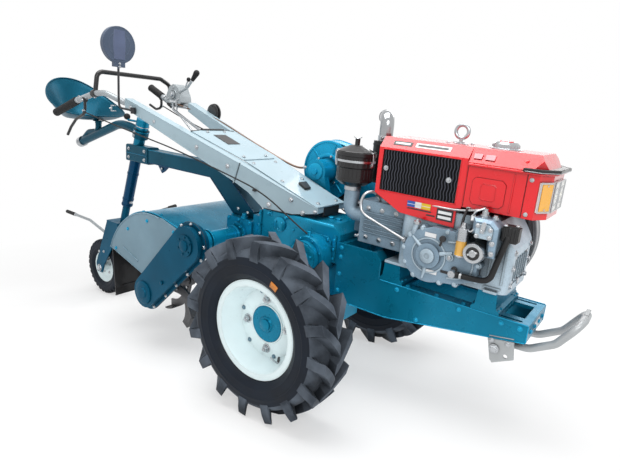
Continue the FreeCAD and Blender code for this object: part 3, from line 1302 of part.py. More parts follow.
def rear_flap():
    """Rear flap that hangs straight down from its hinge rod behind the hood."""
    x, z = flap_hinge()
    half = size("tiller_half") - 4 * size("sheet")
    thick, length = size("flap_thick"), size("flap_length")
    sheet_metal = Part.makeBox(thick, 2 * half, length, V(-thick / 2, -half, -length))
    rod_along = Part.makeCylinder(5, 2 * half, V(0, -half, 0), V(0, 1, 0))
    hem = Part.makeCylinder(4, 2 * half, V(0, -half, -length), V(0, 1, 0))
    flap = sheet_metal.fuse([rod_along, hem]).removeSplitter()
    keep(solid("rear_flap", flap), at(x, 0, z, Turn(V(0, 1, 0), -stance_pitch())))


def blade(hand):
    """One tine about the shaft's axis: a holder, a band that curves back and a tip bent sideways."""
    bend = 0.55 * size("blade_reach")
    band, thick, tip_width = 40, 9, 42
    centre = V(0.3 * size("blade_reach"), 0, -bend)

    def on_bend(radius, angle):
        angle = math.radians(angle)
        return centre + V(radius * math.cos(angle), 0, radius * math.sin(angle))

    def bent_band(inner, outer, start, end, low, high):
        middle = (start + end) / 2
        wire = Part.Wire([
            Part.Arc(on_bend(outer, start), on_bend(outer, middle), on_bend(outer, end)).toShape(),
            Part.LineSegment(on_bend(outer, end), on_bend(inner, end)).toShape(),
            Part.Arc(on_bend(inner, end), on_bend(inner, middle), on_bend(inner, start)).toShape(),
            Part.LineSegment(on_bend(inner, start), on_bend(outer, start)).toShape()])
        face = Part.Face(wire)
        face.translate(V(0, low, 0))
        return face.extrude(V(0, high - low, 0))

    holder = Part.makeBox(centre.x + 4, thick, band, V(0, -thick / 2, -band / 2))
    shank = bent_band(bend - band / 2, bend + band / 2, 92, 18, -thick / 2, thick / 2)
    tip_low, tip_high = sorted((0, hand * tip_width))
    tip = bent_band(bend + band / 2 - 7, bend + band / 2, 40, 18, tip_low, tip_high)
    limit = Part.makeCylinder(size("blade_reach"), 4 * tip_width, V(0, -2 * tip_width, 0), V(0, 1, 0))
    return holder.fuse([shank, tip]).common(limit)


def tiller_rotor():
    """Tiller shaft with pairs of curved blades, each pair turned on from the last."""
    half = size("tiller_half") - 3 * size("sheet") - 14
    stations, margin, step = 8, 56, 52
    parts = []
    for i in range(stations):
        level = -half + margin + i * 2 * (half - margin) / (stations - 1)
        for pair in (0, 1):
            tine = blade(1 if (i + pair) % 2 else -1)
            tine.rotate(V(), V(0, 1, 0), 180 * pair + i * step)
            tine.translate(V(0, level, 0))
            parts.append(tine)
    end = size("tiller_half") - size("seat_gap")
    shaft = Part.makeCylinder(size("rotor_tube"), 2 * end, V(0, -end, 0), V(0, 1, 0))
    keep(solid("tiller_rotor", shaft.fuse(parts)), at(size("rotor_x"), 0, size("rotor_z")))


# ---------------------------------------------------------------- seat, tail column and tail wheel

def down_column(distance):
    """A point on the tail column's axis, a distance below its top."""
    lean = math.radians(size("column_lean"))
    along = V(-math.sin(lean), 0, -math.cos(lean))
    return V(size("column_top_x"), 0, size("column_top_z")) + along * distance


def column_rod(start, end, radius):
    """A round bar about the column's axis between two distances below its top."""
    upper, lower = down_column(start), down_column(end)
    return Part.makeCylinder(radius, (lower - upper).Length, upper, lower - upper)


def seat_beam():
    """Box beam from the tiller's drive box back to the split clamp that holds the tail column."""
    half = size("beam_width") / 2
    front, rear = size("drive_box_front"), size("drive_box_rear")
    low, high, foot = size("beam_low"), size("beam_top"), size("drive_box_top")
    bend, end = size("beam_bend"), size("beam_end")
    corners = [(front - 20, foot), (rear + 10, foot), (bend, low), (end, low), (end, high), (bend + 20, high),
               (bend + 70, high - 10), (front - 20, foot + 30)]
    beam = side_plate(corners, -half, half)
    clamp_half, clamp_low, clamp_high = half + 4, low - 12, high + 10
    clamp_front, clamp_rear = end + 104, end - 88
    clamp = Part.makeBox(clamp_front - clamp_rear, 2 * clamp_half, clamp_high - clamp_low,
                         V(clamp_rear, -clamp_half, clamp_low))
    clamp = clamp.makeFillet(9, [edge for edge in clamp.Edges if runs_along(V(1, 0, 0))(edge)])
    bore = column_rod(0, 400, size("column_radius") + size("seat_gap"))
    slit = Part.makeBox(60, 10, clamp_high - clamp_low + 2, V(clamp_rear - 1, -5, clamp_low - 1))
    keep(solid("seat_beam", beam.fuse(clamp).cut([bore, slit]).removeSplitter()))


def tail_column():
    """Outer column with its cap and the crank that raises the tail wheel."""
    length, radius = size("column_length"), size("column_radius")
    column = column_rod(0, length, radius)
    cap = column_rod(-16, 34, radius + 5)
    hollow = column_rod(length - 190, length + 1, size("post_radius") + size("seat_gap"))
    top = down_column(0)
    knob_x = top.x - size("crank_reach")
    crank = tube([(top.x, 0, top.z - 2), (knob_x + 12, 0, top.z), (knob_x, 0, top.z + 14)], 6, 8)
    knob = Part.makeSphere(size("crank_knob"), V(knob_x, 0, top.z + size("crank_knob")))
    keep(solid("tail_column", column.fuse([cap, crank, knob]).cut(hollow).removeSplitter()))


def seat_arm():
    """Swan-neck tube from the column back under the seat, with the curved seat post at its end."""
    root = down_column(66)
    end, radius = V(size("arm_tail_x"), 0, size("arm_tail_z")), size("seat_tube")
    hump = V(size("hump_x"), 0, size("hump_z"))
    path = [(root.x - 6, 0, root.z), (root.x - 80, 0, root.z + 26), tuple(hump), tuple(end)]
    neck = tube(path, radius, 240)
    clamp = column_rod(44, 88, size("column_radius") + 12)
    run = (end - hump).normalize()
    collar = Part.makeCylinder(radius + 5, 34, end - run * 34, run)
    post_x, top = size("pan_x") + 108, size("pan_z") - size("seat_gap")
    post = tube([(end.x + 20, 0, end.z + 12), (end.x + 100, 0, end.z + 72), (post_x, 0, top - 62),
                 (post_x, 0, top)], size("seat_post"), 44)
    bore = column_rod(0, 400, size("column_radius") + size("seat_gap"))
    keep(solid("seat_arm", neck.fuse([clamp, collar, post]).cut(bore).removeSplitter()))


def seat_bowl(grow):
    """The pan's outer form, or its hollow when it shrinks: a bowl through three ellipses."""
    x, low = size("pan_x"), size("pan_z")
    half_length, half_width = size("pan_length") / 2 + grow, size("pan_width") / 2 + grow
    rings = []
    back = size("pan_back") - low + 4
    for share, rise, shift in ((0.62, -grow, 0), (0.88, 40, 0), (1.0, back, -24)):
        centre = V(x + shift, 0, low + rise)
        tip, flank = centre + V(share * half_length, 0, 0), centre + V(0, share * half_width, 0)
        rings.append(Part.Wire(Part.Ellipse(tip, flank, centre).toShape()))
    return Part.makeLoft(rings, True, False)


def seat_pan():
    """Pressed pan seat: a bowl with low sides whose rim sweeps up to a high round back."""
    shell = seat_bowl(0).cut(seat_bowl(-size("sheet")))
    x, low, back, half = size("pan_x"), size("pan_z"), size("pan_back"), size("pan_length") / 2
    aside = V(0, -size("pan_width"), 0)
    sweep = [V(x + share * half, 0, level) + aside
             for share, level in ((1.3, low + 26), (0.55, low + 30), (0.1, low + 52), (-0.35, low + 92),
                                  (-0.7, low + 160), (-0.98, back))]
    rim = Part.BSplineCurve()
    rim.interpolate(sweep)
    behind = V(x - 1.5 * half, 0, back) + aside
    over = Part.makePolygon([sweep[-1], behind, behind + V(0, 0, half),
                             V(sweep[0].x, sweep[0].y, back + half), sweep[0]])
    above = Part.Face(Part.Wire([rim.toShape()] + over.Edges)).extrude(-2 * aside)
    keep(solid("seat_pan", shell.cut(above)))


def tail_fork():
    """Swivelling post and fork of the tail wheel, with the steering bar behind it."""
    length, tail_half = size("column_length"), size("tail_width") / 2
    x, z = size("tail_x"), size("tail_z")
    post = column_rod(length - 180, length + 126, size("post_radius"))
    crown_at = down_column(length + 120)
    width = 2 * (tail_half + 2 * size("plate"))
    crown = Part.makeBox(110, width, 46, V(crown_at.x - 80, -width / 2, crown_at.z - 36))
    corners = [(crown_at.x + 30, crown_at.z), (crown_at.x - 80, crown_at.z), (x - 34, z + 26),
               (x - 26, z - 26), (x + 26, z - 26), (x + 44, z + 26), (crown_at.x + 30, crown_at.z - 60)]
    cheeks = [side_plate(corners, low, low + size("plate"))
              for low in (tail_half + size("plate"), -tail_half - 2 * size("plate"))]
    axle = Part.makeCylinder(12, width + 16, V(x, -width / 2 - 8, z), V(0, 1, 0))
    clear, level = z + size("tail_radius") + 34, z + size("steer_bar_z")
    steering_bar = tube([(crown_at.x - 30, 0, crown_at.z - 24), (x + 76, 0, clear), (x - 32, 0, clear + 3),
                         (x - 202, 0, level), (x - size("steer_bar_reach"), 0, level)], 8, 60)
    keep(solid("tail_fork", post.fuse([crown, axle, steering_bar] + cheeks).removeSplitter()))


def tail_wheel():
    """Small tail tyre on its pressed rim."""
    place = at(size("tail_x"), 0, size("tail_z"))
    tyre = new_body("tail_tyre")
    half = sketch(tyre, "YZ_Plane")
    outline(half, [("-0.32 * tail_width", "tail_rim"), ("0.32 * tail_width", "tail_rim"),
                   ("0.5 * tail_width", "tail_rim + 22"), ("0.5 * tail_width", "tail_radius - 26"),
                   ("0.3 * tail_width", "tail_radius"), ("-0.3 * tail_width", "tail_radius"),
                   ("-0.5 * tail_width", "tail_radius - 26"), ("-0.5 * tail_width", "tail_rim + 22")])
    revolve(tyre, half)
    keep(tyre, place)
    rim = new_body("tail_rim")
    half = sketch(rim, "YZ_Plane")
    outline(half, [("-0.5 * tail_width - 4", "12 + seat_gap"), ("0.5 * tail_width + 4", "12 + seat_gap"),
                   ("0.5 * tail_width + 4", "24"), ("0.14 * tail_width", "24"),
                   ("0.14 * tail_width", "tail_rim - 26"), ("0.32 * tail_width", "tail_rim - seat_gap"),
                   ("-0.32 * tail_width", "tail_rim - seat_gap"), ("-0.14 * tail_width", "tail_rim - 26"),
                   ("-0.14 * tail_width", "24"), ("-0.5 * tail_width - 4", "24")])
    revolve(rim, half)
    keep(rim, place)


# ---------------------------------------------------------------- front stand

def under_frame(x):
    """Height of the frame's sloping underside at a place along the machine."""
    share = (x - size("frame_bend")) / (size("frame_front") - size("frame_bend"))
    return size("frame_belly") + share * (size("frame_nose") - size("frame_belly"))


def stand_bracket():
    """Plate under the frame's nose with two cheeks, the stand's pivot bolts and a free pin hole."""
    inner, thick = size("frame_width") / 2, 6
    outer = inner + thick
    x, z = size("pivot_x"), size("pivot_z")
    rear, front = x - 24, x + 52
    rear_z, front_z = under_frame(rear) - size("seat_gap"), under_frame(front) - size("seat_gap")
    corners = [(rear, rear_z), (x - 8, z - 40), (x, z - 49), (x + 60, z - 17), (front, front_z)]
    cheeks = [side_plate(corners, low, low + thick) for low in (inner, -outer)]
    top = side_plate([(rear, rear_z), (rear, rear_z - thick), (front, front_z - thick), (front, front_z)],
                     -outer, outer)
    bolts = [Part.makeCylinder(size("stand_pin"), outer - size("stand_half") + 16,
                               V(x, side * (outer + 4), z), V(0, -side, 0)) for side in (-1, 1)]
    hole = Part.makeCylinder(size("lock_radius"), 3 * outer, V(size("lock_x"), -1.5 * outer, size("lock_z")),
                             V(0, 1, 0))
    keep(solid("stand_bracket", cheeks[0].fuse(cheeks[1:] + [top] + bolts).cut(hole).removeSplitter()))


def front_stand():
    """U-shaped tube stand, folded up in front of the frame."""
    half, radius = size("stand_half"), size("stand_radius")
    x, z = size("pivot_x"), size("pivot_z")
    leg = [(12, 5), (86, 10), (154, 51), (210, 134)]
    path = [(x + along, -half, z + up) for along, up in leg]
    path += [(x + along, half, z + up) for along, up in reversed(leg)]
    legs = tube(path, radius, 50)
    eyes = [Part.makeCylinder(18, 20, V(x, side * half - 10, z), V(0, 1, 0)) for side in (-1, 1)]
    bore = size("stand_pin") + size("seat_gap")
    bores = [Part.makeCylinder(bore, 60, V(x, side * half - 30, z), V(0, 1, 0)) for side in (-1, 1)]
    keep(solid("front_stand", legs.fuse(eyes).cut(bores).removeSplitter()))


# ---------------------------------------------------------------- the whole machine

def build():
    for make in (engine_frame, engine_mounts, crankcase, gear_cover, pump_housing, fuel_filter, side_hose,
                 cylinder_head, flywheel, v_belts, belt_guard, radiator_hood, radiator_core, fuel_tank,
                 fuel_cap, lamp_housing, lamp_visor, front_lamps, air_cleaner, muffler, exhaust_pipe,
                 lifting_eye, gearbox, clutch_bracket):
        make()
    for name, side in (("right", -1), ("left", 1)):
        main_tyre(name, side)
        main_rim(name, side)
        main_hub(name, side)
        handle_arm(name + "_handle_arm", side)
    for make in (handle_cover, handlebars, cross_bar, steering_levers, lever_console, control_rods, mirror,
                 horn, control_cables, tiller_drive, chain_case, tiller_hood, side_shields, rear_flap,
                 tiller_rotor, seat_beam, tail_column, seat_arm, seat_pan, tail_fork, tail_wheel,
                 stand_bracket, front_stand):
        make()
    doc.recompute()


def park():
    """Leans every piece nose down about the main axle, with the box's middle over the origin."""
    axle = at(0, 0, size("wheel_radius"))
    lean = FreeCAD.Placement(V(), Turn(V(0, 1, 0), stance_pitch()))
    stance = axle * lean * axle.inverse()
    for item, local in nodes.values():
        item.Placement = stance * local
    boxes = [item.Shape.optimalBoundingBox(False, False) for item, local in nodes.values()]
    middle = (min(box.XMin for box in boxes) + max(box.XMax for box in boxes)) / 2
    stance = at(-middle, 0, 0) * stance
    for item, local in nodes.values():
        item.Placement = stance * local
    doc.recompute()
    print(f"pitch {stance_pitch():.4f} degrees, axle at x {-middle:.3f} mm")


def check():
    """Stops if a feature failed or a piece is empty or invalid."""
    for item in doc.Objects:
        if "Invalid" in item.State or "Error" in item.State:
            raise ValueError(f"{item.Label} failed: {item.State}")
    for label, (item, local) in nodes.items():
        if item.Shape.isNull() or not item.Shape.isValid() or not item.Shape.Solids:
            raise ValueError(f"{label} is empty or invalid")


build()
park()
check()
os.makedirs("parts", exist_ok=True)
for label, (item, local) in nodes.items():
    item.Shape.exportStep(os.path.join("parts", label + ".step"))
print(len(nodes), "pieces")
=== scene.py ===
"""A walking tractor with a rear tiller, a pan seat and a small diesel engine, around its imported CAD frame.

The machine's places and sizes are in millimetres in its own frame: +X forward, +Y left, +Z up, with the
machine level and the origin on the ground under the main axle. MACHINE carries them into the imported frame,
in metres, where the machine stands nose down on its tail wheel. Materials, camera and stage are in metres.
"""

import math

import bmesh
import bpy
from mathutils import Matrix, Vector


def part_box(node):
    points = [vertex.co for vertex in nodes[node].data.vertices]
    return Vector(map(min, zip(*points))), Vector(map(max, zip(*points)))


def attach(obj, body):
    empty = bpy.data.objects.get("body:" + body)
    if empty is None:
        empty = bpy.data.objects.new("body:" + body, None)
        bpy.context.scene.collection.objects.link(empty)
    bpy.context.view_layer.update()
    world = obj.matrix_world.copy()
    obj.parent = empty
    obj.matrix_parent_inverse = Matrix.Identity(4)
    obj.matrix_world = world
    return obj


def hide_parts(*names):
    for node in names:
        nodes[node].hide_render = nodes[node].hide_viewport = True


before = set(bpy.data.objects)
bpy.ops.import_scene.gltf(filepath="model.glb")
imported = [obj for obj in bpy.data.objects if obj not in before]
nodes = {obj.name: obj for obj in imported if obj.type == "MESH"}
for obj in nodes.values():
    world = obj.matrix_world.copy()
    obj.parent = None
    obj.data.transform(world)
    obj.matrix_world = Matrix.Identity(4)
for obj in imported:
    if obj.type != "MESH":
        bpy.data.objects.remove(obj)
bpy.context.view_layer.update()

PITCH = math.radians(5.8905)
WHEEL_RADIUS = 320
HALF_TRACK = 400
AXLE_X = sum(corner.x for corner in map(Vector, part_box("right_hub"))) / 2
METRES = Matrix.Diagonal((0.001, 0.001, 0.001, 1))
LEANED = (Matrix.Translation((AXLE_X, 0, WHEEL_RADIUS / 1000)) @ Matrix.Rotation(PITCH, 4, "Y")
          @ Matrix.Translation((0, 0, -WHEEL_RADIUS / 1000)))
MACHINE = LEANED @ METRES


# ---------------------------------------------------------------- materials

class Surface:
    """A material under construction: its shader, and helpers that add nodes to it."""

    def __init__(self, name):
        self.material = bpy.data.materials.new(name)
        self.material.use_nodes = True
        self.items = self.material.node_tree.nodes
        self.links = self.material.node_tree.links
        self.shader = self.items["Principled BSDF"]
        self.normal = None

    def feed(self, node, inputs):
        """Links a node's inputs to sockets, or sets them to plain values."""
        for socket, value in inputs.items():
            if isinstance(value, bpy.types.NodeSocket):
                self.links.new(value, node.inputs[socket])
            else:
                node.inputs[socket].default_value = value

    def add(self, kind, output, inputs=(), **settings):
        """Adds a node of a kind and gives one of its outputs."""
        node = self.items.new("ShaderNode" + kind)
        for name, value in settings.items():
            setattr(node, name, value)
        self.feed(node, dict(inputs))
        return node.outputs[output]

    def noise(self, scale, detail=4.0):
        """A noise value in object space."""
        place = self.add("TexCoord", "Object")
        return self.add("TexNoise", "Fac", {"Vector": place, "Scale": scale, "Detail": detail})

    def ramp(self, value, dark, light, start=0.3, end=0.7):
        """Turns a value into colours from dark to light."""
        band = self.items.new("ShaderNodeValToRGB")
        for element, place, colour in zip(band.color_ramp.elements, (start, end), (dark, light)):
            element.position = place
            element.color = (*colour, 1.0)
        self.links.new(value, band.inputs["Fac"])
        return band.outputs["Color"]

    def tone(self, colour, vary, scale, detail=4.0):
        """The colour, in patches a little lighter and darker."""
        return self.ramp(self.noise(scale, detail), shade(colour, 1 - vary), shade(colour, 1 + vary))

    def spread(self, value, low, high, start=0.0, end=1.0):
        """Carries a value from one range into another."""
        return self.add("MapRange", "Result", {"Value": value, "From Min": start, "From Max": end,
                                               "To Min": low, "To Max": high})

    def mix(self, share, first, second):
        """Mixes two colours by a share, each a socket or a plain colour."""
        first, second = (colour if isinstance(colour, bpy.types.NodeSocket) else (*colour, 1.0)
                         for colour in (first, second))
        return self.add("Mix", 2, {0: share, 6: first, 7: second}, data_type="RGBA")

    def below(self, tone, colour, start, end):
        """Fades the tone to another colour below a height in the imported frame."""
        height = self.add("SeparateXYZ", "Z", {"Vector": self.add("TexCoord", "Object")})
        return self.mix(self.spread(height, 0.0, 1.0, start, end), colour, tone)

    def edges(self, radius):
        """Rounds the edges in the shading, and gives how far a point lies inside such an edge."""
        self.normal = self.add("Bevel", "Normal", {"Radius": radius}, samples=3)
        flat = self.add("NewGeometry", "Normal")
        dot = self.add("VectorMath", "Value", {0: self.normal, 1: flat}, operation="DOT_PRODUCT")
        return self.spread(dot, 0.0, 1.0, 0.985, 0.8)

    def shade_where_close(self, tone, dark, share, clear=0.8):
        """Darkens the tone where neighbouring surfaces stand close: painted shade."""
        near = self.add("AmbientOcclusion", "AO", {"Distance": 0.07}, samples=4)
        return self.mix(self.spread(near, share, 0.0, 0.15, clear), tone, dark)

    def bump(self, height, strength, distance):
        """Adds a height to the relief of the rounded edges."""
        self.normal = self.add("Bump", "Normal", {"Strength": strength, "Distance": distance,
                                                  "Height": height,
                                                  "Normal": self.normal})

    def done(self, colour, roughness, **constants):
        """Feeds the sockets to the shader and returns the material."""
        inputs = {name.replace("_", " "): value for name, value in constants.items()}
        if self.normal:
            inputs["Normal"] = self.normal
        self.feed(self.shader, inputs | {"Base Color": colour, "Roughness": roughness})
        return self.material


def shade(colour, factor):
    """The colour made lighter or darker by a factor."""
    return tuple(min(1.0, channel * factor) for channel in colour)


def paint(name, colour, roughness=0.28, coat=0.5, metallic=0.0, vary=0.16, worn=1.9, specular=0.3, close_shade_share=0.75,
          under=None):
    """Sprayed enamel: slow tone changes, orange peel, dust in patches, lighter rubbed edges, and painted
    shade where surfaces stand close.
    """
    surface = Surface(name)
    rim = surface.edges(0.0016)
    tone = surface.tone(colour, vary, 6.0)
    patches = surface.spread(surface.noise(38.0, 5.0), 0.0, 0.35, 0.42, 0.62)
    rubbed = surface.add("Math", "Value", {0: rim, 1: patches}, operation="MULTIPLY")
    tone = surface.mix(rubbed, tone, shade(colour, worn))
    if under:
        tone = surface.below(tone, *under)
    # painted shade: darker where neighbouring surfaces stand close
    tone = surface.shade_where_close(tone, shade(colour, 0.12), close_shade_share)
    surface.bump(surface.noise(420.0, 3.0), 0.05, 0.0004)
    dust = surface.spread(surface.noise(17.0, 6.0), max(0.03, roughness - 0.09), roughness + 0.12, 0.3, 0.75)
    return surface.done(tone, dust, Metallic=metallic, Coat_Weight=coat, Coat_Roughness=0.06,
                        Specular_IOR_Level=specular)


def casting(name, colour, roughness=0.5, metallic=0.35, grain=0.35):
    """Painted sand casting: a pebbled skin that is darker in its pits, painted shade in its hollows, and oil
    in patches.
    """
    surface = Surface(name)
    rim = surface.edges(0.0022)
    pits = surface.noise(260.0, 2.0)
    tone = surface.tone(colour, 0.2, 9.0, 6.0)
    tone = surface.mix(surface.spread(pits, 0.35, 0.0, 0.3, 0.5), tone, shade(colour, 0.45))
    tone = surface.mix(surface.spread(rim, 0.0, 0.3), tone, shade(colour, 1.8))
    # painted shade: much darker where neighbouring surfaces stand close
    tone = surface.shade_where_close(tone, shade(colour, 0.08), 0.95, 0.88)
    surface.bump(pits, grain, 0.0009)
    oil = surface.spread(surface.noise(21.0, 5.0), roughness - 0.16, roughness + 0.14, 0.35, 0.7)
    return surface.done(tone, oil, Metallic=metallic, Coat_Weight=0.15, Coat_Roughness=0.2)


def metal(name, colour, roughness=0.25, vary=0.08, grain=0.05):
    """Bright metal with fine scratches."""
    surface = Surface(name)
    surface.edges(0.0008)
    scratches = surface.noise(240.0)
    surface.bump(scratches, grain, 0.0003)
    return surface.done(surface.tone(colour, vary, 14.0),
                        surface.spread(scratches, roughness * 0.7, roughness * 1.5), Metallic=1.0)


def rubber(name, colour, dusty, share, roughness=0.7, grain=0.4, edge=0.0018):
    """Moulded rubber with dust that gathers in patches, and painted shade where surfaces stand close."""
    surface = Surface(name)
    rim = surface.edges(edge)
    patches = surface.noise(11.0, 8.0)
    tone = surface.mix(surface.spread(patches, 0.0, share, 0.36, 0.66), colour, dusty)
    tone = surface.mix(surface.spread(rim, 0.0, 0.45), tone, shade(dusty, 1.25))
    # painted shade: much darker where neighbouring surfaces stand close
    tone = surface.shade_where_close(tone, shade(colour, 0.3), 0.95, 0.97)
    surface.bump(surface.noise(330.0, 3.0), grain, 0.0006)
    return surface.done(tone, surface.spread(patches, roughness - 0.12, roughness + 0.16),
                        Specular_IOR_Level=0.22)


def moulded(name, colour, roughness=0.4, relief=0.1, vary=0.1, texture=500.0, under=None, **constants):
    """Moulded plastic with a fine grain."""
    surface = Surface(name)
    surface.edges(0.001)
    tone = surface.tone(colour, vary, 12.0)
    if under:
        tone = surface.below(tone, *under)
    fine = surface.noise(texture, 3.0)
    surface.bump(fine, relief, 0.0003)
    return surface.done(tone, surface.spread(fine, roughness - 0.06, roughness + 0.08), **constants)


def lens(name, colour, ribs, glow=0.0):
    """Fluted lamp glass over a reflector."""
    surface = Surface(name)
    surface.edges(0.001)
    flutes = surface.add("TexWave", "Fac", {"Scale": ribs, "Vector": surface.add("TexCoord", "Object")},
                         bands_direction="Y")
    surface.bump(flutes, 0.5, 0.0012)
    return surface.done(surface.ramp(flutes, shade(colour, 0.72), shade(colour, 1.15), 0.2, 0.8),
                        surface.spread(flutes, 0.08, 0.2), Coat_Weight=1.0, Coat_Roughness=0.03,
                        Emission_Color=(*colour, 1.0), Emission_Strength=glow)


# One teal paint in copies for light and shade: the darker copies are painted shade, the lighter ones painted
# light, and the column's copy turns dark navy below a height as painted shade.
TEAL = (0.003, 0.19, 0.32)
teal = paint("teal_paint", TEAL, 0.3, 0.08, 0.45, specular=0.15)
teal_shaded = paint("teal_shadow_paint", shade(TEAL, 0.36), 0.34, 0.04, 0.4, specular=0.12)
teal_in_deep_shade = paint("deep_shade_teal_paint", (0.0015, 0.075, 0.14), 0.36, 0.03, 0.4, specular=0.06)
teal_navy_below = paint("column_shaded_below_paint", TEAL, 0.3, 0.08, 0.45, specular=0.15,
                    under=((0.001, 0.05, 0.12), 0.82, 0.9))
teal_lit = paint("lit_teal_copy_paint", shade(TEAL, 1.35), 0.3, 0.1, 0.45, specular=0.2)
teal_brightly_lit = paint("teal_bright_lit_copy", shade(TEAL, 1.75), 0.27, 0.12, 0.45, specular=0.25)
red = paint("red_enamel", (0.76, 0.009, 0.016), 0.22, 0.6, vary=0.05, worn=1.3)
pale = paint("pale_enamel", (0.36, 0.48, 0.54), 0.34, 0.3, vary=0.05, worn=1.25)
white = paint("white_enamel", (0.8, 0.93, 0.95), 0.34, 0.4, vary=0.04, worn=1.05, close_shade_share=0.35)
stand_grey = paint("stand_paint", (0.4, 0.42, 0.43), 0.42, 0.2, 0.25, 0.1, 1.4)
console_grey = paint("console_paint", (0.36, 0.4, 0.42), 0.33, 0.3, 0.4, 0.1)
shield_grey = paint("shield_paint", (0.17, 0.28, 0.35), 0.42, 0.1, 0.1, 0.12)
bar_grey = paint("bar_paint", (0.34, 0.37, 0.39), 0.34, 0.3, 0.3, 0.1)
black = paint("black_enamel", (0.011, 0.011, 0.012), 0.34, 0.35, vary=0.2, worn=4.0)
soot = paint("exhaust_black", (0.014, 0.014, 0.015), 0.5, 0.1, vary=0.3, worn=4.0)
fin_dark = paint("fin_dark", (0.003, 0.003, 0.004), 0.6, 0.0, vary=0.2, worn=2.0, specular=0.08)
# Lighter colour for the fins' crests: a painted highlight.
fin_highlight = paint("fin_highlight", (0.03, 0.034, 0.046), 0.4, 0.1, vary=0.3, worn=2.0)
seam_dark = paint("seam_shadow", (0.12, 0.004, 0.005), 0.5, 0.0)
seam_grey = paint("seam_grey", (0.05, 0.065, 0.075), 0.5, 0.0)
engine_grey = casting("engine_casting", (0.26, 0.37, 0.47))
head_grey = casting("head_casting", (0.3, 0.42, 0.52), 0.55)
# A brightly lit copy of the engine casting, as painted light.
engine_lit = casting("lit_copy_casting", (0.47, 0.59, 0.68), 0.46, grain=0.2)
iron = casting("flywheel_iron", (0.22, 0.235, 0.25), 0.45, 0.5, 0.15)
chrome = metal("bright_plate", (0.46, 0.47, 0.48), 0.12, 0.03, 0.015)
exhaust_chrome = metal("exhaust_plate", (0.36, 0.37, 0.38), 0.16, 0.06, 0.03)
steel = metal("plain_steel", (0.5, 0.51, 0.52), 0.3)
zinc = metal("zinc_plate", (0.46, 0.48, 0.5), 0.26, 0.14)
dark_steel = metal("oiled_steel", (0.12, 0.12, 0.125), 0.42, 0.2)
rod_brown = metal("rusty_rod", (0.2, 0.13, 0.1), 0.4, 0.3, 0.2)
label_silver = metal("label_silver", (0.55, 0.56, 0.58), 0.3)
tread = rubber("tread_rubber", (0.028, 0.036, 0.048), (0.135, 0.162, 0.2), 0.75)
sidewall = rubber("sidewall_rubber", (0.002, 0.005, 0.011), (0.01, 0.017, 0.03), 0.5, 0.55, 0.25)
hose = rubber("hose_rubber", (0.014, 0.014, 0.015), (0.05, 0.05, 0.05), 0.3, 0.5, 0.2, 0.0006)
grip_rubber = rubber("grip_rubber", (0.012, 0.012, 0.013), (0.04, 0.04, 0.042), 0.3, 0.6)
black_plastic = moulded("black_plastic", (0.014, 0.014, 0.015), 0.45)
mirror_shell = moulded("mirror_shell", (0.055, 0.08, 0.13), 0.42, 0.3, texture=260.0,
                       under=((0.012, 0.013, 0.016), 1.262, 1.266))
mirror_ridge = moulded("mirror_ridge", (0.085, 0.11, 0.19), 0.35)
amber_lens = lens("amber_lens", (0.95, 0.43, 0.02), 110.0, 0.12)
clear_lens = lens("clear_lens", (0.86, 0.86, 0.8), 90.0)
amber_glass = moulded("amber_glass", (0.75, 0.4, 0.06), 0.1, 0.0, Coat_Weight=1.0)
label_rose = moulded("label_rose", (0.78, 0.3, 0.33), 0.35, 0.03)
label_white = moulded("label_white", (0.78, 0.79, 0.8), 0.35, 0.03, 0.03)
label_black = moulded("label_black", (0.016, 0.016, 0.018), 0.3, 0.03)
label_blue = moulded("label_blue", (0.02, 0.09, 0.4), 0.3, 0.03)
label_yellow = moulded("label_yellow", (0.75, 0.5, 0.02), 0.3, 0.03)
label_orange = moulded("label_orange", (0.62, 0.21, 0.03), 0.4, 0.05)

# Parts in the darker teal copies are painted shade; parts in the lighter teal copies, and the crankcase in
# the lit casting copy, are painted light.
NODE_FINISH = {
    teal: "engine_frame engine_mounts right_hub left_hub tiller_hood",
    teal_lit: "gearbox clutch_bracket tiller_drive seat_pan",
    teal_in_deep_shade: "chain_case tail_fork",
    teal_shaded: "seat_beam seat_arm",
    teal_navy_below: "tail_column",
    teal_brightly_lit: "belt_guard",
    engine_grey: "gear_cover pump_housing",
    engine_lit: "crankcase",
    head_grey: "cylinder_head",
    iron: "flywheel",
    red: "radiator_hood fuel_tank lamp_housing",
    hose: "v_belts",
    black: "radiator_core air_cleaner lamp_visor rear_flap horn cross_bar steering_levers",
    soot: "muffler",
    dark_steel: "tiller_rotor",
    chrome: "fuel_cap",
    exhaust_chrome: "exhaust_pipe",
    zinc: "lifting_eye control_rods fuel_filter",
    console_grey: "lever_console",
    clear_lens: "front_lamps",
    pale: "right_handle_arm left_handle_arm handle_cover",
    bar_grey: "handlebars",
    white: "right_rim left_rim tail_rim",
    stand_grey: "front_stand stand_bracket",
    shield_grey: "side_shields",
    mirror_shell: "mirror",
}
for material, names in NODE_FINISH.items():
    for name in names.split():
        slots = nodes[name].data.materials
        slots.clear()
        slots.append(material)


# ---------------------------------------------------------------- camera, before anything that it must see

def link(name, data):
    """A new object in the scene."""
    item = bpy.data.objects.new(name, data)
    bpy.context.scene.collection.objects.link(item)
    return item


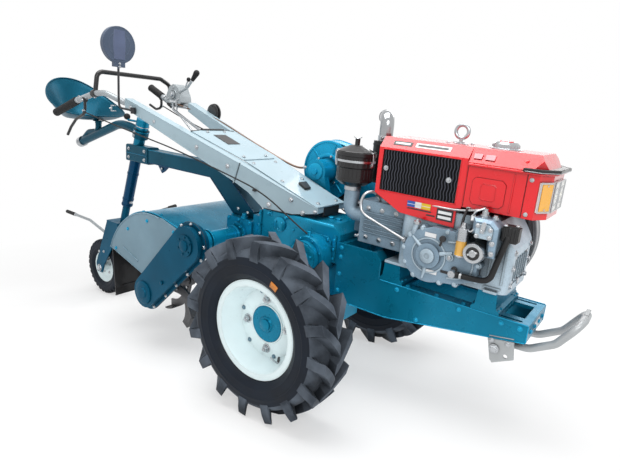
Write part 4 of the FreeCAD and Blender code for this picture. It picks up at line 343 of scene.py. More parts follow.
def build_camera():
    """The camera at the photograph's place, turned left, down and slightly rolled."""
    azimuth, elevation, roll = math.radians(-36.358), math.radians(-10.416), math.radians(0.288)
    ahead_of_axle, aside, height = 1.0773, -1.564, 0.9689
    data = bpy.data.cameras.new("camera")
    data.sensor_width, data.lens = 36.0, 27.926
    data.shift_x, data.shift_y = -0.0086, -0.0189
    data.clip_end = 60.0
    camera = link("camera", data)
    camera.location = (AXLE_X + ahead_of_axle, aside, height)
    camera.rotation_euler = (Matrix.Rotation(-azimuth, 4, "Z") @ Matrix.Rotation(math.pi / 2 + elevation, 4,
                                                                                 "X")
                             @ Matrix.Rotation(roll, 4, "Z")).to_euler()
    bpy.context.scene.camera = camera


build_camera()


# ---------------------------------------------------------------- cords

def cord(name, points, diameter, node):
    """A declared cable or hose along its route's control points, both ends held by the machine."""
    line = bpy.data.curves.new(name, "CURVE")
    line.dimensions = "3D"
    spline = line.splines.new("NURBS")
    spline.points.add(len(points) - 1)
    places = [LEANED @ Vector([value / 1000 for value in point]) for point in points]
    for knot, place in zip(spline.points, places):
        knot.co = (*place, 1.0)
    spline.order_u = 3
    spline.use_endpoint_u = True
    spline.resolution_u = 12
    line.bevel_depth = diameter / 2
    line.bevel_resolution = 5
    line.use_fill_caps = True
    line.materials.append(hose)
    item = link(name, line)
    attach(item, "tractor")
    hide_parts(node)


RIGHT_CABLE = [(-1417, -255.3, 940), (-1243, -240, 908), (-888, -226, 856), (-744, -212, 833),
               (-455, -190, 773), (-240, -182, 728), (-70, -176, 636), (-8, -169, 604.3)]
LEFT_CABLE = [(-1420, 224.3, 990), (-1243, 238, 928), (-888, 216, 856), (-700, 198, 812),
              (-474, 186, 746), (-300, 178, 712), (-130, 174, 672), (-8, 169, 604.3)]
BREATHER = [(687, -120.3, 770), (687, -154.3, 770), (675, -158.3, 718), (663, -158.3, 662),
            (657, -169.3, 618), (605, -170.3, 612), (552, -170.3, 612)]
cord("right_cable", RIGHT_CABLE, 0.006, "control_cables")
cord("left_cable", LEFT_CABLE, 0.006, "control_cables")
cord("breather_hose", BREATHER, 0.018, "side_hose")


# ---------------------------------------------------------------- mesh tools

RIGHT, LEFT, UP, DOWN, AHEAD, BACK = (Vector(way) for way in ((0, -1, 0), (0, 1, 0), (0, 0, 1), (0, 0, -1),
                                                             (1, 0, 0), (-1, 0, 0)))
SIDES = ((-1, RIGHT), (1, LEFT))


def piece(name, *surfaces, body="tractor", sharp=38, stands_for=()):
    """Builds at once the mesh that a function fills, and links it as an object that rides on a body, hiding
    the imported parts that it stands for.
    """
    def make(fill):
        mesh = bmesh.new()
        fill(mesh)
        bmesh.ops.recalc_face_normals(mesh, faces=mesh.faces)
        mesh.transform(MACHINE)
        data = bpy.data.meshes.new(name)
        mesh.to_mesh(data)
        mesh.free()
        data.polygons.foreach_set("use_smooth", [True] * len(data.polygons))
        data.set_sharp_from_angle(angle=math.radians(sharp))
        for surface in surfaces:
            data.materials.append(surface)
        item = link(name, data)
        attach(item, body)
        if stands_for:
            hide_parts(*stands_for)
        return item
    return make


def ray(angle, reach=1.0):
    """A way in the machine's middle plane, from straight ahead turning up."""
    return Vector((math.cos(angle), 0, math.sin(angle))) * reach


def spoke(angle, reach=1.0):
    """A level way, from straight ahead turning left."""
    return Vector((math.cos(angle), math.sin(angle), 0)) * reach


def turns(count, phase=0.0):
    """Angles spread evenly over a full turn."""
    return [math.tau * k / count + phase for k in range(count)]


def upright(level, points):
    """Points in an upright plane along the machine, at a level across it."""
    return [(x, level, z) for x, z in points]


def looped(points):
    """Each point with the next, round a closed outline."""
    return zip(points, points[1:] + points[:1])


def knob(*steps, foot=-1):
    """A solid profile to turn: places along the axis and radii, from a foot just under the surface."""
    return [(foot, 0), (foot, steps[0][1]), *steps, (steps[-1][0], 0)]


def tube(inner, outer, end, start=0):
    """A hollow profile to turn."""
    return [(start, inner), (start, outer), (end, outer), (end, inner)]


def skin(mesh, rings, surface=0, round_closed=True, long_closed=False):
    """Faces between rings of equally many points, capped where the rings are closed and their row is open."""
    rows = [[mesh.verts.new(point) for point in ring] for ring in rings]
    count = len(rows[0])
    for near, far in looped(rows) if long_closed else zip(rows, rows[1:]):
        for i in range(count if round_closed else count - 1):
            j = (i + 1) % count
            mesh.faces.new((near[i], near[j], far[j], far[i])).material_index = surface
    if round_closed and not long_closed:
        for row in (rows[0], rows[-1]):
            mesh.faces.new(row).material_index = surface


def across(direction):
    """Two unit vectors at right angles to a direction and to each other."""
    direction = Vector(direction).normalized()
    first = direction.cross(UP if abs(direction.z) < 0.9 else AHEAD).normalized()
    return first, direction.cross(first)


def turned(mesh, start, axis, profile, surface=0, segments=32):
    """Revolves a profile of places along an axis and radii; one that has no end on the axis is closed."""
    start, axis = Vector(start), Vector(axis).normalized()
    first, second = across(axis)
    rings = []
    for along, radius in profile:
        centre = start + axis * along
        rings.append([centre + (first * math.cos(turn) + second * math.sin(turn)) * max(radius, 0.02)
                      for turn in turns(segments)])
    skin(mesh, rings, surface, long_closed=min(profile[0][1], profile[-1][1]) > 1)


def smooth_line(points, steps=8):
    """Points along a smooth line that passes through the given ones."""
    padded = [2 * points[0] - points[1]] + points + [2 * points[-1] - points[-2]]
    line = []
    for a, b, c, d in zip(padded, padded[1:], padded[2:], padded[3:]):
        for t in (step / steps for step in range(steps)):
            line.append(0.5 * (2 * b + (c - a) * t + (2 * a - 5 * b + 4 * c - d) * t ** 2
                               + (3 * b - a - 3 * c + d) * t ** 3))
    return line + [points[-1]]


def bar(mesh, points, radius, surface=0, segments=12, smooth=True, flat=1.0):
    """A bar along a line, round or flattened, whose radius may follow the place along it."""
    line = [Vector(point) for point in points]
    if smooth and len(line) > 2:
        line = smooth_line(line)
    side = across(line[1] - line[0])[0]
    rings = []
    for i, point in enumerate(line):
        along = (line[min(i + 1, len(line) - 1)] - line[max(i - 1, 0)]).normalized()
        side = (side - along * side.dot(along)).normalized()
        other = along.cross(side)
        size = radius(i / (len(line) - 1)) if callable(radius) else radius
        rings.append([point + side * math.cos(turn) * size + other * math.sin(turn) * size * flat
                      for turn in turns(segments)])
    skin(mesh, rings, surface)


def join(mesh, part, surface, bevel, matrix=None):
    """Bevels all the edges of one mesh, at its size in metres, and adds it to another."""
    if bevel:
        part.transform(METRES)
        bmesh.ops.bevel(part, geom=part.edges[:], offset=bevel / 1000, segments=2, affect="EDGES",
                        clamp_overlap=True)
        part.transform(METRES.inverted())
    if matrix is not None:
        part.transform(matrix)
    part.verts.index_update()
    copies = [mesh.verts.new(vert.co) for vert in part.verts]
    for face in part.faces:
        mesh.faces.new([copies[vert.index] for vert in face.verts]).material_index = surface
    part.free()


def block(mesh, low, high, surface=0, bevel=1.5, matrix=None):
    """A box between two corners, with small bevels."""
    part = bmesh.new()
    bmesh.ops.create_cube(part, size=1.0)
    for vert in part.verts:
        vert.co = Vector(((vert.co[k] + 0.5) * (high[k] - low[k]) + low[k] for k in range(3)))
    join(mesh, part, surface, bevel, matrix)


def plate(mesh, outline, rise, surface=0, bevel=1.0):
    """A flat plate on an outline of points, raised by a vector."""
    part = bmesh.new()
    face = part.faces.new([part.verts.new(Vector(point)) for point in outline])
    raised = bmesh.ops.extrude_face_region(part, geom=[face])["geom"]
    for vert in (item for item in raised if isinstance(item, bmesh.types.BMVert)):
        vert.co += Vector(rise)
    bmesh.ops.recalc_face_normals(part, faces=part.faces)
    join(mesh, part, surface, bevel)


def slab(mesh, corners, thick, surface=0, bevel=0.6):
    """A thin plate on an outline, raised to the side its corners turn round."""
    corners = [Vector(corner) for corner in corners]
    normal = (corners[1] - corners[0]).cross(corners[2] - corners[1]).normalized()
    plate(mesh, corners, normal * thick, surface, bevel)


def bolt(mesh, place, normal, radius, surface=0, height=None, washer=True, turn=0.0):
    """A hexagon head with a chamfered top and a faint crown, on a washer."""
    normal = Vector(normal).normalized()
    height = height or radius * 0.75
    base = Vector(place) - normal * 0.6
    if washer:
        turned(mesh, base, normal, knob((2, radius * 1.4), (2.4, radius * 1.3), foot=0), surface, 20)
    first, second = across(normal)
    rings = []
    for along, share in ((1, 1.0), (height * 0.82, 1.0), (height, 0.85), (height + 0.3, 0.02)):
        centre = base + normal * (along + 1)
        rings.append([centre + (first * math.cos(angle) + second * math.sin(angle)) * radius * share
                      for angle in turns(6, turn)])
    skin(mesh, rings, surface)


def bolt_ring(mesh, centre, normal, reach, count, phase, radius, surface, height, washer=False, follow=True):
    """Bolts on a circle about an axis across the machine, their heads turned with it or not."""
    for angle in turns(count, phase):
        bolt(mesh, Vector(centre) + ray(angle, reach), normal, radius, surface, height, washer,
             angle if follow else 0.0)


def stud(mesh, place, normal, radius, reach, surface=0):
    """A threaded stud that stands through its nut."""
    bolt(mesh, place, normal, radius * 1.6, surface, radius * 1.5)
    pitch = 1.6
    threads = [(0, 0), (0, radius)]
    for i in range(int(reach / pitch)):
        threads += [(i * pitch + pitch / 2, radius * 0.88), ((i + 1) * pitch, radius)]
    turned(mesh, place, normal, threads + [(reach + 1.2, radius * 0.7), (reach + 1.2, 0)], surface, 14)


def on_arm(side, along, outward, height):
    """A point beside a handle arm: back along it from its nose, out from its middle plane, and up."""
    spread = math.radians(5.9)
    front, middle = -30, 75.5
    return Vector((front - along * math.cos(spread) + outward * math.sin(spread),
                   side * (middle + along * math.sin(spread) + outward * math.cos(spread)), height))


def routed(points, bend, steps=8):
    """A line of straight runs with rounded corners, like a bent tube's."""
    points = [Vector(point) for point in points]
    line = [points[0]]
    for before, corner, after in zip(points, points[1:], points[2:]):
        back, ahead = before - corner, after - corner
        half = back.angle(ahead) / 2
        reach = min(bend / math.tan(half), 0.48 * back.length, 0.48 * ahead.length)
        start, end = corner + back.normalized() * reach, corner + ahead.normalized() * reach
        centre = corner + (back.normalized() + ahead.normalized()).normalized() * reach / math.cos(half)
        first, last = (start - centre).normalized(), (end - centre).normalized()
        line += [centre + first.slerp(last, k / steps) * (start - centre).length for k in range(steps + 1)]
    return line + [points[-1]]


# ---------------------------------------------------------------- main wheels

LUGS_PER_SIDE = 16
LUG_SWEEP = math.radians(17.0)
LUG_PHASE = math.radians(-91.5)
LUG_INNER, LUG_REACH = -7, 81
CARCASS = [(0, 285.5), (20, 284.5), (40, 281.5), (60, 275.5), (71.5, 266.5), (76, 257), (78.5, 246),
           (79.2, 238),
           (80.3, 236), (80.3, 231), (78.8, 229), (78.2, 216), (75.5, 204), (75.6, 200.5), (74.2, 199),
           (67, 188.5),
           (59, 180.5), (49.6, 176), (49.6, 160)]
CROWN_POINTS = 5


def carcass_radius(offset):
    """Radius of the tyre's skin between the lugs, at a distance from its middle plane."""
    for (near, high), (far, low) in zip(CARCASS, CARCASS[1:]):
        if near <= offset <= far:
            return high + (low - high) * (offset - near) / (far - near)
    return CARCASS[CROWN_POINTS][1]


def lug(mesh, place, side, phase):
    """One chevron lug from the tyre's middle out over the shoulder and down the sidewall."""
    rings = []
    for step in range(9):
        share = step / 8
        offset = LUG_INNER + LUG_REACH * share
        angle = phase - LUG_SWEEP * (1 - share * (1.22 - 0.22 * share))
        slope = LUG_SWEEP * (1.22 - 0.44 * share) * 300 / LUG_REACH
        half = 12.8 * math.sqrt(1 + slope ** 2)
        crown = 319.2 - 1.2 * share if share else 316.5
        rings.append((angle, half, (offset, carcass_radius(max(offset, 0)) - 3), (offset, crown)))
    for crown, foot in (((77.5, 306.5), (68, 262)), ((80.5, 288.5), (69, 256)), ((80.8, 272), (72, 250)),
                        ((80.1, 255.5), (75, 244))):
        rings.append((phase, half * 0.96, foot, crown))

    def point(offset, radius, angle):
        return place + ray(angle, radius) + LEFT * side * offset

    loops = []
    for angle, half, foot, crown in rings:
        flare = half * 1.32 / foot[1]
        near = half / crown[1]
        middle = tuple(0.25 * low + 0.75 * high for low, high in zip(foot, crown))
        loops.append([point(*foot, angle - flare), point(*middle, angle - near * 1.06),
                      point(*crown, angle - near),
                      point(*crown, angle + near), point(*middle, angle + near * 1.06),
                      point(*foot, angle + flare)])
    skin(mesh, loops)


def main_tyre(name, side):
    """The tyre with its chevron lugs, and raised rings on its sidewalls."""
    @piece(name + "_lugged_tyre", tread, sidewall, body=name + "_wheel", sharp=34,
           stands_for=(name + "_tyre",))
    def tyre(mesh):
        place = Vector((0, side * HALF_TRACK, WHEEL_RADIUS))
        profile = [(-offset, radius) for offset, radius in reversed(CARCASS[1:])] + CARCASS
        rings = [[place + ray(angle, radius) + LEFT * offset for offset,
                  radius in profile] for angle in turns(128)]
        skin(mesh, rings, round_closed=False, long_closed=True)
        crown = range(len(CARCASS) - CROWN_POINTS - 1, len(CARCASS) + CROWN_POINTS - 1)
        for i, face in enumerate(mesh.faces):
            face.material_index = 0 if i % (len(profile) - 1) in crown else 1
        for angle in turns(LUGS_PER_SIDE, LUG_PHASE):
            lug(mesh, place, side, angle)
            lug(mesh, place, -side, angle + math.pi / LUGS_PER_SIDE)

    rounding = tyre.modifiers.new("rounding", "BEVEL")
    rounding.width = 0.0022
    rounding.segments = 2
    rounding.limit_method = "ANGLE"
    rounding.angle_limit = math.radians(38)


def wheel_point(side, out, radius, degrees):
    """A place on a main wheel, by its distance outside the wheel's middle plane."""
    return Vector((0, side * (HALF_TRACK + out), WHEEL_RADIUS)) + ray(math.radians(degrees), radius)


def wheel_fittings(name, side):
    """Wheel nuts, disc bolts, valve, the hub cap's ring and the rim's weld."""
    @piece(name + "_wheel_fittings", white, shield_grey, teal, white, black_plastic, zinc,
           body=name + "_wheel")
    def fittings(mesh):
        outward = LEFT * side
        disc = -19
        for degrees in (5, 94, 186, 273):
            place = wheel_point(side, disc, 92, degrees)
            turned(mesh, place, outward, knob((2.2, 16.5), (3, 15.5)), 5)
            bolt(mesh, place + outward * 3, outward, 11.5, 5, 11, washer=False, turn=0.4)
            turned(mesh, place + outward * 12, outward, [(0, 0), (0, 5.5), (8, 5.5), (9, 0)], 5)
        for degrees in (107, 229, 290, 350, 48, 168):
            bolt(mesh, wheel_point(side, disc, 118, degrees), outward, 6, 1, 5)
        turned(mesh, wheel_point(side, -7, 0, 0), outward, [(-1, 0), (-1, 21), (4, 21), (7, 17), (7.5, 0)], 2)
        turned(mesh, wheel_point(side, disc, 0, 0), outward, [(0, 66.5), (0, 71.5), (3.5, 70.5), (3.5, 66.5)],
               3, 64)
        valve_angle = math.radians(-51)
        slot = wheel_point(side, 12, 134.5, -51)
        radial = ray(valve_angle)
        lean = (outward - radial * 0.9).normalized()
        along = Vector((-radial.z, 0, radial.x)).cross(lean).normalized()
        outline = [slot + along * dx + lean.cross(along) * dz * side
                   for dx, dz in ((-20, -6), (20, -6), (24, 0), (20, 6), (-20, 6), (-24, 0))]
        plate(mesh, outline, -lean * 3, 4, 0.8)
        bar(mesh, [slot - lean * 4, slot + lean * 12, slot + lean * 26 - radial * 10], 3.2, 5, 10)
        for low, high in ((151.5, 155.5), (169, 173.5)):
            turned(mesh, wheel_point(side, 54.8, 0, 0), outward,
                   [(-1, low), (0.8, low + 1), (0.8, high - 1), (-1, high)], 3, 96)


for name, side in (("right", -1), ("left", 1)):
    main_tyre(name, side)
    wheel_fittings(name, side)


@piece("sidewall_tag", label_orange, body="right_wheel")
def sidewall_tag(mesh):
    """A blank orange tag on the right tyre's sidewall."""
    skin(mesh, [[wheel_point(-1, out, radius, degrees) for degrees in (59, 61, 63, 65, 67)]
                for out, radius in ((78, 206), (80.2, 218.5), (80.2, 227.5))], round_closed=False)


thickness = sidewall_tag.modifiers.new("thickness", "SOLIDIFY")
thickness.thickness = 0.0012
thickness.offset = 0.0


# ---------------------------------------------------------------- engine

CASE_SIDE = -120
COVER_FACE = -154
BOSS_FACE = -148
CAM = Vector((455, 0, 644))
CRANK = Vector((480, 0, 690))
STARTER = Vector((606, -204, 698))
FILTER = Vector((560, -178, 0))


def on_cam(degrees, radius, level):
    """A place on a circle round the gear cover's main boss."""
    return CAM + ray(math.radians(degrees), radius) + LEFT * level


def strip(mesh, low, high, level, surface=0, thick=1.2):
    """A thin label on the machine's right side, from its lower rear to its upper front corner."""
    corners = [low, (high[0], low[1]), high, (low[0], high[1])]
    plate(mesh, upright(level, corners), RIGHT * thick, surface, 0.5)


@piece("gear_cover_fittings", zinc, engine_lit, label_white, label_black, steel, black_plastic)
def gear_cover(mesh):
    """Bolts on the cover's bosses, the bearing plug, blank labels and the oil filler. Most of these fittings
    take the lit casting copy: painted highlights on the grey cover.
    """
    places = [on_cam(degrees, 88, BOSS_FACE) for degrees in (112, 144, 176, 208, 240)]
    places += upright(BOSS_FACE, [(501, 566), (551, 574), (612, 604), (612, 650), (555, 730), (505, 730)])
    for count, place in enumerate(places):
        bolt(mesh, place, RIGHT, 7.2, 1, 6.5, turn=0.7 * count)
    turned(mesh, on_cam(0, 0, -164), RIGHT, knob((4, 23.5), (5.5, 21), (5.5, 9), (3, 8)), 1, 48)
    turned(mesh, on_cam(0, 0, COVER_FACE), RIGHT, [(-1, 52), (2.8, 53.5), (2.8, 57.5), (-1, 59)], 1, 64)
    for degrees in (20, 140, 262):
        bar(mesh, [on_cam(degrees, 36, COVER_FACE), on_cam(degrees, 80, COVER_FACE)],
            lambda share: 8.5 - 5 * share,
            1, 10)
    ridge = [(512, 702), (560, 706), (589, 690), (598, 655), (592, 615), (560, 596), (525, 588)]
    bar(mesh, upright(COVER_FACE, ridge), 3.4, 1, 8)
    for low, high, surface in (((434, 703.5), (472, 717.5), 2), ((449, 586.5), (491, 599.5), 2),
                               ((502, 600), (545, 609), 3), ((552, 598), (590, 608), 3)):
        strip(mesh, low, high, COVER_FACE - 0.2, surface)
    bar(mesh, [(500, COVER_FACE, 712), (500, -168, 712)], 4.2, 4)
    turned(mesh, (500, -166, 712), RIGHT, [(0, 0), (0, 9), (6, 10.5), (11, 9.5), (13, 0)], 3)
    bar(mesh, [(500, -170, 710), (497, -172, 700), (494, -172, 688)], 3.8, 3, 10)
    bar(mesh, [(392, -130, 698), (392, -146, 702), (398, -152, 722), (402, -152, 738)], 8.5, 1, 16)
    turned(mesh, (402, -152, 736), UP, [(0, 0), (0, 12.5), (4, 13), (9, 12), (10, 6), (16, 5), (17, 0)])
    turned(mesh, (525, COVER_FACE, 655), RIGHT, knob((3, 12.5), (4, 11.5)), 1)
    bolt(mesh, (525, COVER_FACE - 3, 655), RIGHT, 7.5, washer=False)
    turned(mesh, (545, COVER_FACE, 622), RIGHT, knob((5, 9), (6, 7.5)), 5)


@piece("cover_gasket", black_plastic)
def gasket(mesh):
    """Thin dark gasket between the gear cover and the crankcase."""
    outline = [on_cam(degrees, 89.5, CASE_SIDE) for degrees in range(90, 271, 12)]
    outline += upright(CASE_SIDE, [(500, 564.5), (546, 570.5), (613.7, 599), (613.7, 702.3), (530, 739.5),
                                   (458, 739.5)])
    plate(mesh, outline, RIGHT * 1.6, 0, 0)


@piece("starting_sleeve", zinc, black_plastic, steel)
def starting_sleeve(mesh):
    """Starting shaft's sleeve: a bright ring, a black disc across its bore as painted shade, and the dog
    inside it.
    """
    turned(mesh, STARTER, RIGHT, [(-22, 29.2), (-22, 31.2), (-5, 31.2), (1, 28.5), (1, 20), (-3, 19.5),
                                  (-3, 29.2)],
           0, 48)
    # a black disc across the bore: painted shade
    turned(mesh, STARTER, RIGHT, knob((0.4, 19.5), foot=-0.5), 1, 40)
    turned(mesh, STARTER, RIGHT, knob((4.5, 10.5), (5.5, 9.5), foot=0))
    bar(mesh, [STARTER + Vector((-14, -2.5, -6)), STARTER + Vector((14, -2.5, 6))], 3.2, 2, 10)


@piece("pump_fittings", zinc, engine_lit)
def pump_fittings(mesh):
    """Bolts, cover plate, delivery valve, governor lever and stop knob on the pump housing."""
    face = -188
    plate(mesh, upright(face, [(598, 744), (642, 744), (648, 750), (648, 776), (636, 787), (604, 787),
                               (598, 780)]),
          RIGHT * 4, 1)
    for x, z in ((604, 750), (641, 751), (641, 774), (604, 781)):
        bolt(mesh, (x, face - 4, z), RIGHT, 4.8, 0, 4)
    for x, z in ((650, 735), (652, 705)):
        bolt(mesh, (x, face, z), RIGHT, 5.5, 0, 5)
    turned(mesh, (607, -150, 800), UP, knob((8, 13), (8, 9.5), (18, 9.5), (18, 7.5), (26, 7)))
    turned(mesh, (638, -152, 800), UP, knob((7, 9), (7, 6), (12, 6)))
    bar(mesh, [(620, face, 768), (620, face - 14, 768)], 4.8)
    plate(mesh, upright(face - 12, [(614, 762), (626, 762), (630, 792), (624, 797), (617, 792)]), RIGHT * 2.5,
          0, 0.6)
    bolt(mesh, (620, face - 14.5, 768), RIGHT, 4.5, washer=False)


@piece("breather_box", black_plastic, zinc)
def breather_box(mesh):
    """Black ribbed bracket ahead of the pump that holds the breather's upper end."""
    block(mesh, (664, -158, 740), (710, -120.3, 790), 0, 4)
    for x in range(669, 706, 9):
        block(mesh, (x, -161.5, 745), (x + 3.5, -157, 785), 0, 0.8)
    for x, y in ((672.5, -158.5), (700, -135)):
        bolt(mesh, (x, y, 790), UP, 5, 1, 4)


@piece("fuel_lines", hose, steel, label_white, amber_glass)
def fuel_lines(mesh):
    """Lines from the tank to the filter and the pump, with white sleeve, banjo bolt and glass bowl."""
    bar(mesh, [(548, -119.5, 812), (548, -139, 806), (549, -157, 790), (551, -170, 768), (556, -178, 757)],
        4.2)
    bar(mesh, [(574, -119.5, 812), (574, -141, 808), (577, -162, 800), (585, -168, 815), (604, -156, 826)], 3,
        1)
    bar(mesh, [(572, -178, 754), (588, -182, 760), (600, -170, 790), (606, -160, 800)], 3, 1)
    turned(mesh, (577, -160, 798), (0.1, -0.4, -1), [(-4, 0), (-4, 5.8), (14, 5.8), (14, 0)], 2)
    turned(mesh, FILTER + UP * 761.5, UP, knob((5, 9.5), (5, 7.5), (11, 7), foot=0), 1)
    bolt(mesh, FILTER + UP * 771.5, UP, 6.2, 1, 5, washer=False)
    for z, inner, outer, height, surface in ((678, 15.1, 15.6, 46, 3), (723.5, 15.2, 17.8, 5, 1),
                                             (674, 15.2, 16.6, 4, 1)):
        turned(mesh, FILTER + UP * z, UP, tube(inner, outer, height), surface, 40)


@piece("head_fittings", zinc, head_grey, steel)
def head_fittings(mesh):
    """Head studs, ribs, injector with its line, rocker cover nuts, and the breather pipe over the head."""
    for z in (622, 745):
        for y in (-70, 70):
            stud(mesh, (150, y, z), BACK, 5.8, 20)
    for y in (-35, 35):
        stud(mesh, (96, y, 684), BACK, 5, 14)
    for x in (180, 235, 290):
        for z in (735, 628):
            bolt(mesh, (x, -80, z), RIGHT, 6.5)
    for k in range(6):
        z = 645 + 14.5 * k
        block(mesh, (165, -84.5, z), (318, -79.5, z + 5), 1, 1.2)
    bar(mesh, [(215, -62, 762), (200, -85, 795), (178, -112, 790), (170, -120, 752), (190, -125, 720),
               (250, -128, 700), (330, -131, 676), (352, -130, 668)], 5.2, 2, 14)
    bar(mesh, [(352, -120.5, 668), (352, -131, 668)], 8, 0, 14)
    for y in (-28, 20):
        turned(mesh, (260, y, 762), UP, knob((12, 12), (12, 8), (24, 8)), 0, 24)
    bar(mesh, [(260, -28, 784), (262, -40, 796), (300, -90, 799), (360, -115, 798.5), (500, -128, 799.5),
               (580, -142, 815), (607, -150, 828)], 3.2, 2)
    turned(mesh, (94, -62, 806), UP, tube(28.2, 31, -6, -20), 0, 48)


@piece("case_front_fittings", engine_lit, zinc)
def case_front(mesh):
    """Ribs, hand-hole bolts and drain plug on the crankcase's front panel, and ribs on its side."""
    x = 693
    for y in range(-56, 57, 28):
        block(mesh, (x - 1, y - 3, 604), (x + 4.5, y + 3, 676), 0, 1.2)
    for side in (-1, 1):
        for z in (601, 680):
            bolt(mesh, (x, side * 66, z), AHEAD, 5.5, 1, 5)
        for z in (595, 650, 700):
            bolt(mesh, (698, side * 90, z), AHEAD, 6.8, 1, 6)
    turned(mesh, (x, 0, 592), AHEAD, knob((7, 11), (8, 9)), 1)
    for rear, front, low, high in ((676, 683.5, 600, 730), (630, 682, 582, 589.5), (634, 640.5, 600, 680)):
        block(mesh, (rear, -123.5, low), (front, -119.5, high))


@piece("flywheel_fittings", iron, steel, body="engine_flywheel")
def flywheel_fittings(mesh):
    """Cooling vanes, rim groove and pulley grooves of the flywheel."""
    inner = 150
    for angle in turns(24):
        foot = CRANK + LEFT * (inner + 0.2)
        bar(mesh, [foot + ray(angle, 70), foot + ray(angle + 0.12, 185)], 3.2, 0, 8)
    for low, high in ((196, 204), (210, 214)):
        turned(mesh, CRANK + LEFT * inner, RIGHT, [(-1, low), (2, low + 1), (2, high - 1), (-1, high)], 0,
               128)
    for level in (160, 196):
        turned(mesh, CRANK + LEFT * level, LEFT, tube(221.5, 223.2, 6), 1, 128)


@piece("hose_end", zinc, hose, steel)
def hose_end(mesh):
    """Clamped fitting that holds the breather hose's lower end on the gear cover."""
    turned(mesh, (546, -182, 612), LEFT, [(0, 0), (0, 11.2), (2, 12), (26, 12), (28, 11.2), (28, 0)])
    for x, radius, reach, surface in ((552, 10.5, 14, 1), (569, 10.4, 7, 2)):
        turned(mesh, (x, -170.3, 612), AHEAD, knob((reach, radius), foot=0), surface)


# ---------------------------------------------------------------- hood, tank and lamps

SIDE = 125.5
HOOD_TOP = 994


@piece("cooling_fins", fin_highlight, zinc, red, fin_dark)
def cooling_fins(mesh):
    """Wavy upright fins of the condenser in both openings of the hood, in their dark frame, with a painted
    highlight on each wave's crest.
    """
    rear, front, low, high = 239, 501, 819, 952
    waves, steps, heights = 25, 6, 28
    for side, out in SIDES:
        rows = []
        for k in range(waves * steps + 1):
            x = rear + 2 + (front - rear - 4) * k / (waves * steps)
            level = side * (122.6 + 1.8 * (0.5 - 0.5 * math.cos(math.tau * k / steps)))
            rows.append([(x + 1.6 * math.sin(row * 0.9), level, low + (high - low) * row / heights)
                         for row in range(heights + 1)])
        first = len(mesh.faces)
        skin(mesh, rows, 3, round_closed=False)
        # painted highlight: the faces round each crest take the lighter colour
        for k, face in enumerate(list(mesh.faces)[first:]):
            if k // heights % steps in (2, 3):
                face.material_index = 0
        for x, z in ((252, 892), (472, 886)):
            turned(mesh, (x, side * 122.2, z), out, [(0, 0), (0, 8.5), (2.6, 8.5), (3, 0)], 1)
            bolt(mesh, (x, side * 125, z), out, 5, 1, 4, washer=False, turn=x * 0.009)
        edge = [(rear - 3, low - 3), (front + 3, low - 3), (front + 3, high + 3), (rear - 3, high + 3)]
        for ends in looped(upright(side * 125.7, edge)):
            bar(mesh, ends, 1.6, 2, 8)


@piece("hood_labels", label_white, label_silver, label_black, label_yellow, label_blue)
def hood_labels(mesh):
    """Blank bands on the bevel, and the stripes and the plain plate on the skirt."""
    low, high = Vector((0, -122.5, 963)), Vector((0, -94.5, 991))
    for rear, front, surface, foot, head, rise in ((262, 330, 2, 0.28, 0.76, 0.8),
                                                   (270, 322, 0, 0.42, 0.62, 1.4),
                                                   (342, 460, 0, 0.28, 0.76, 0.8),
                                                   (350, 452, 2, 0.42, 0.62, 1.4)):
        foot, head = low.lerp(high, foot), low.lerp(high, head)
        plate(mesh, [AHEAD * rear + foot, AHEAD * front + foot, AHEAD * front + head, AHEAD * rear + head],
              Vector((0, -1, 1)).normalized() * rise, surface, 0.2)
    for rear, front, low, high, surface in ((346, 374, 780.5, 800, 4), (374, 396, 780.5, 800, 0),
                                            (396, 428, 780.5, 800, 3), (348, 432, 773.5, 777.5, 2),
                                            (346, 428, 789, 791.5, 0), (416, 445, 763, 767.5, 2),
                                            (450, 504, 757, 794, 2)):
        strip(mesh, (rear, low), (front, high), -SIDE + 0.1, surface, 1.1 if surface == 0 else 0.8)
    for low in (762.5, 778):
        strip(mesh, (455, low), (499, low + 9.5), -SIDE - 0.8, 0, 0.5)


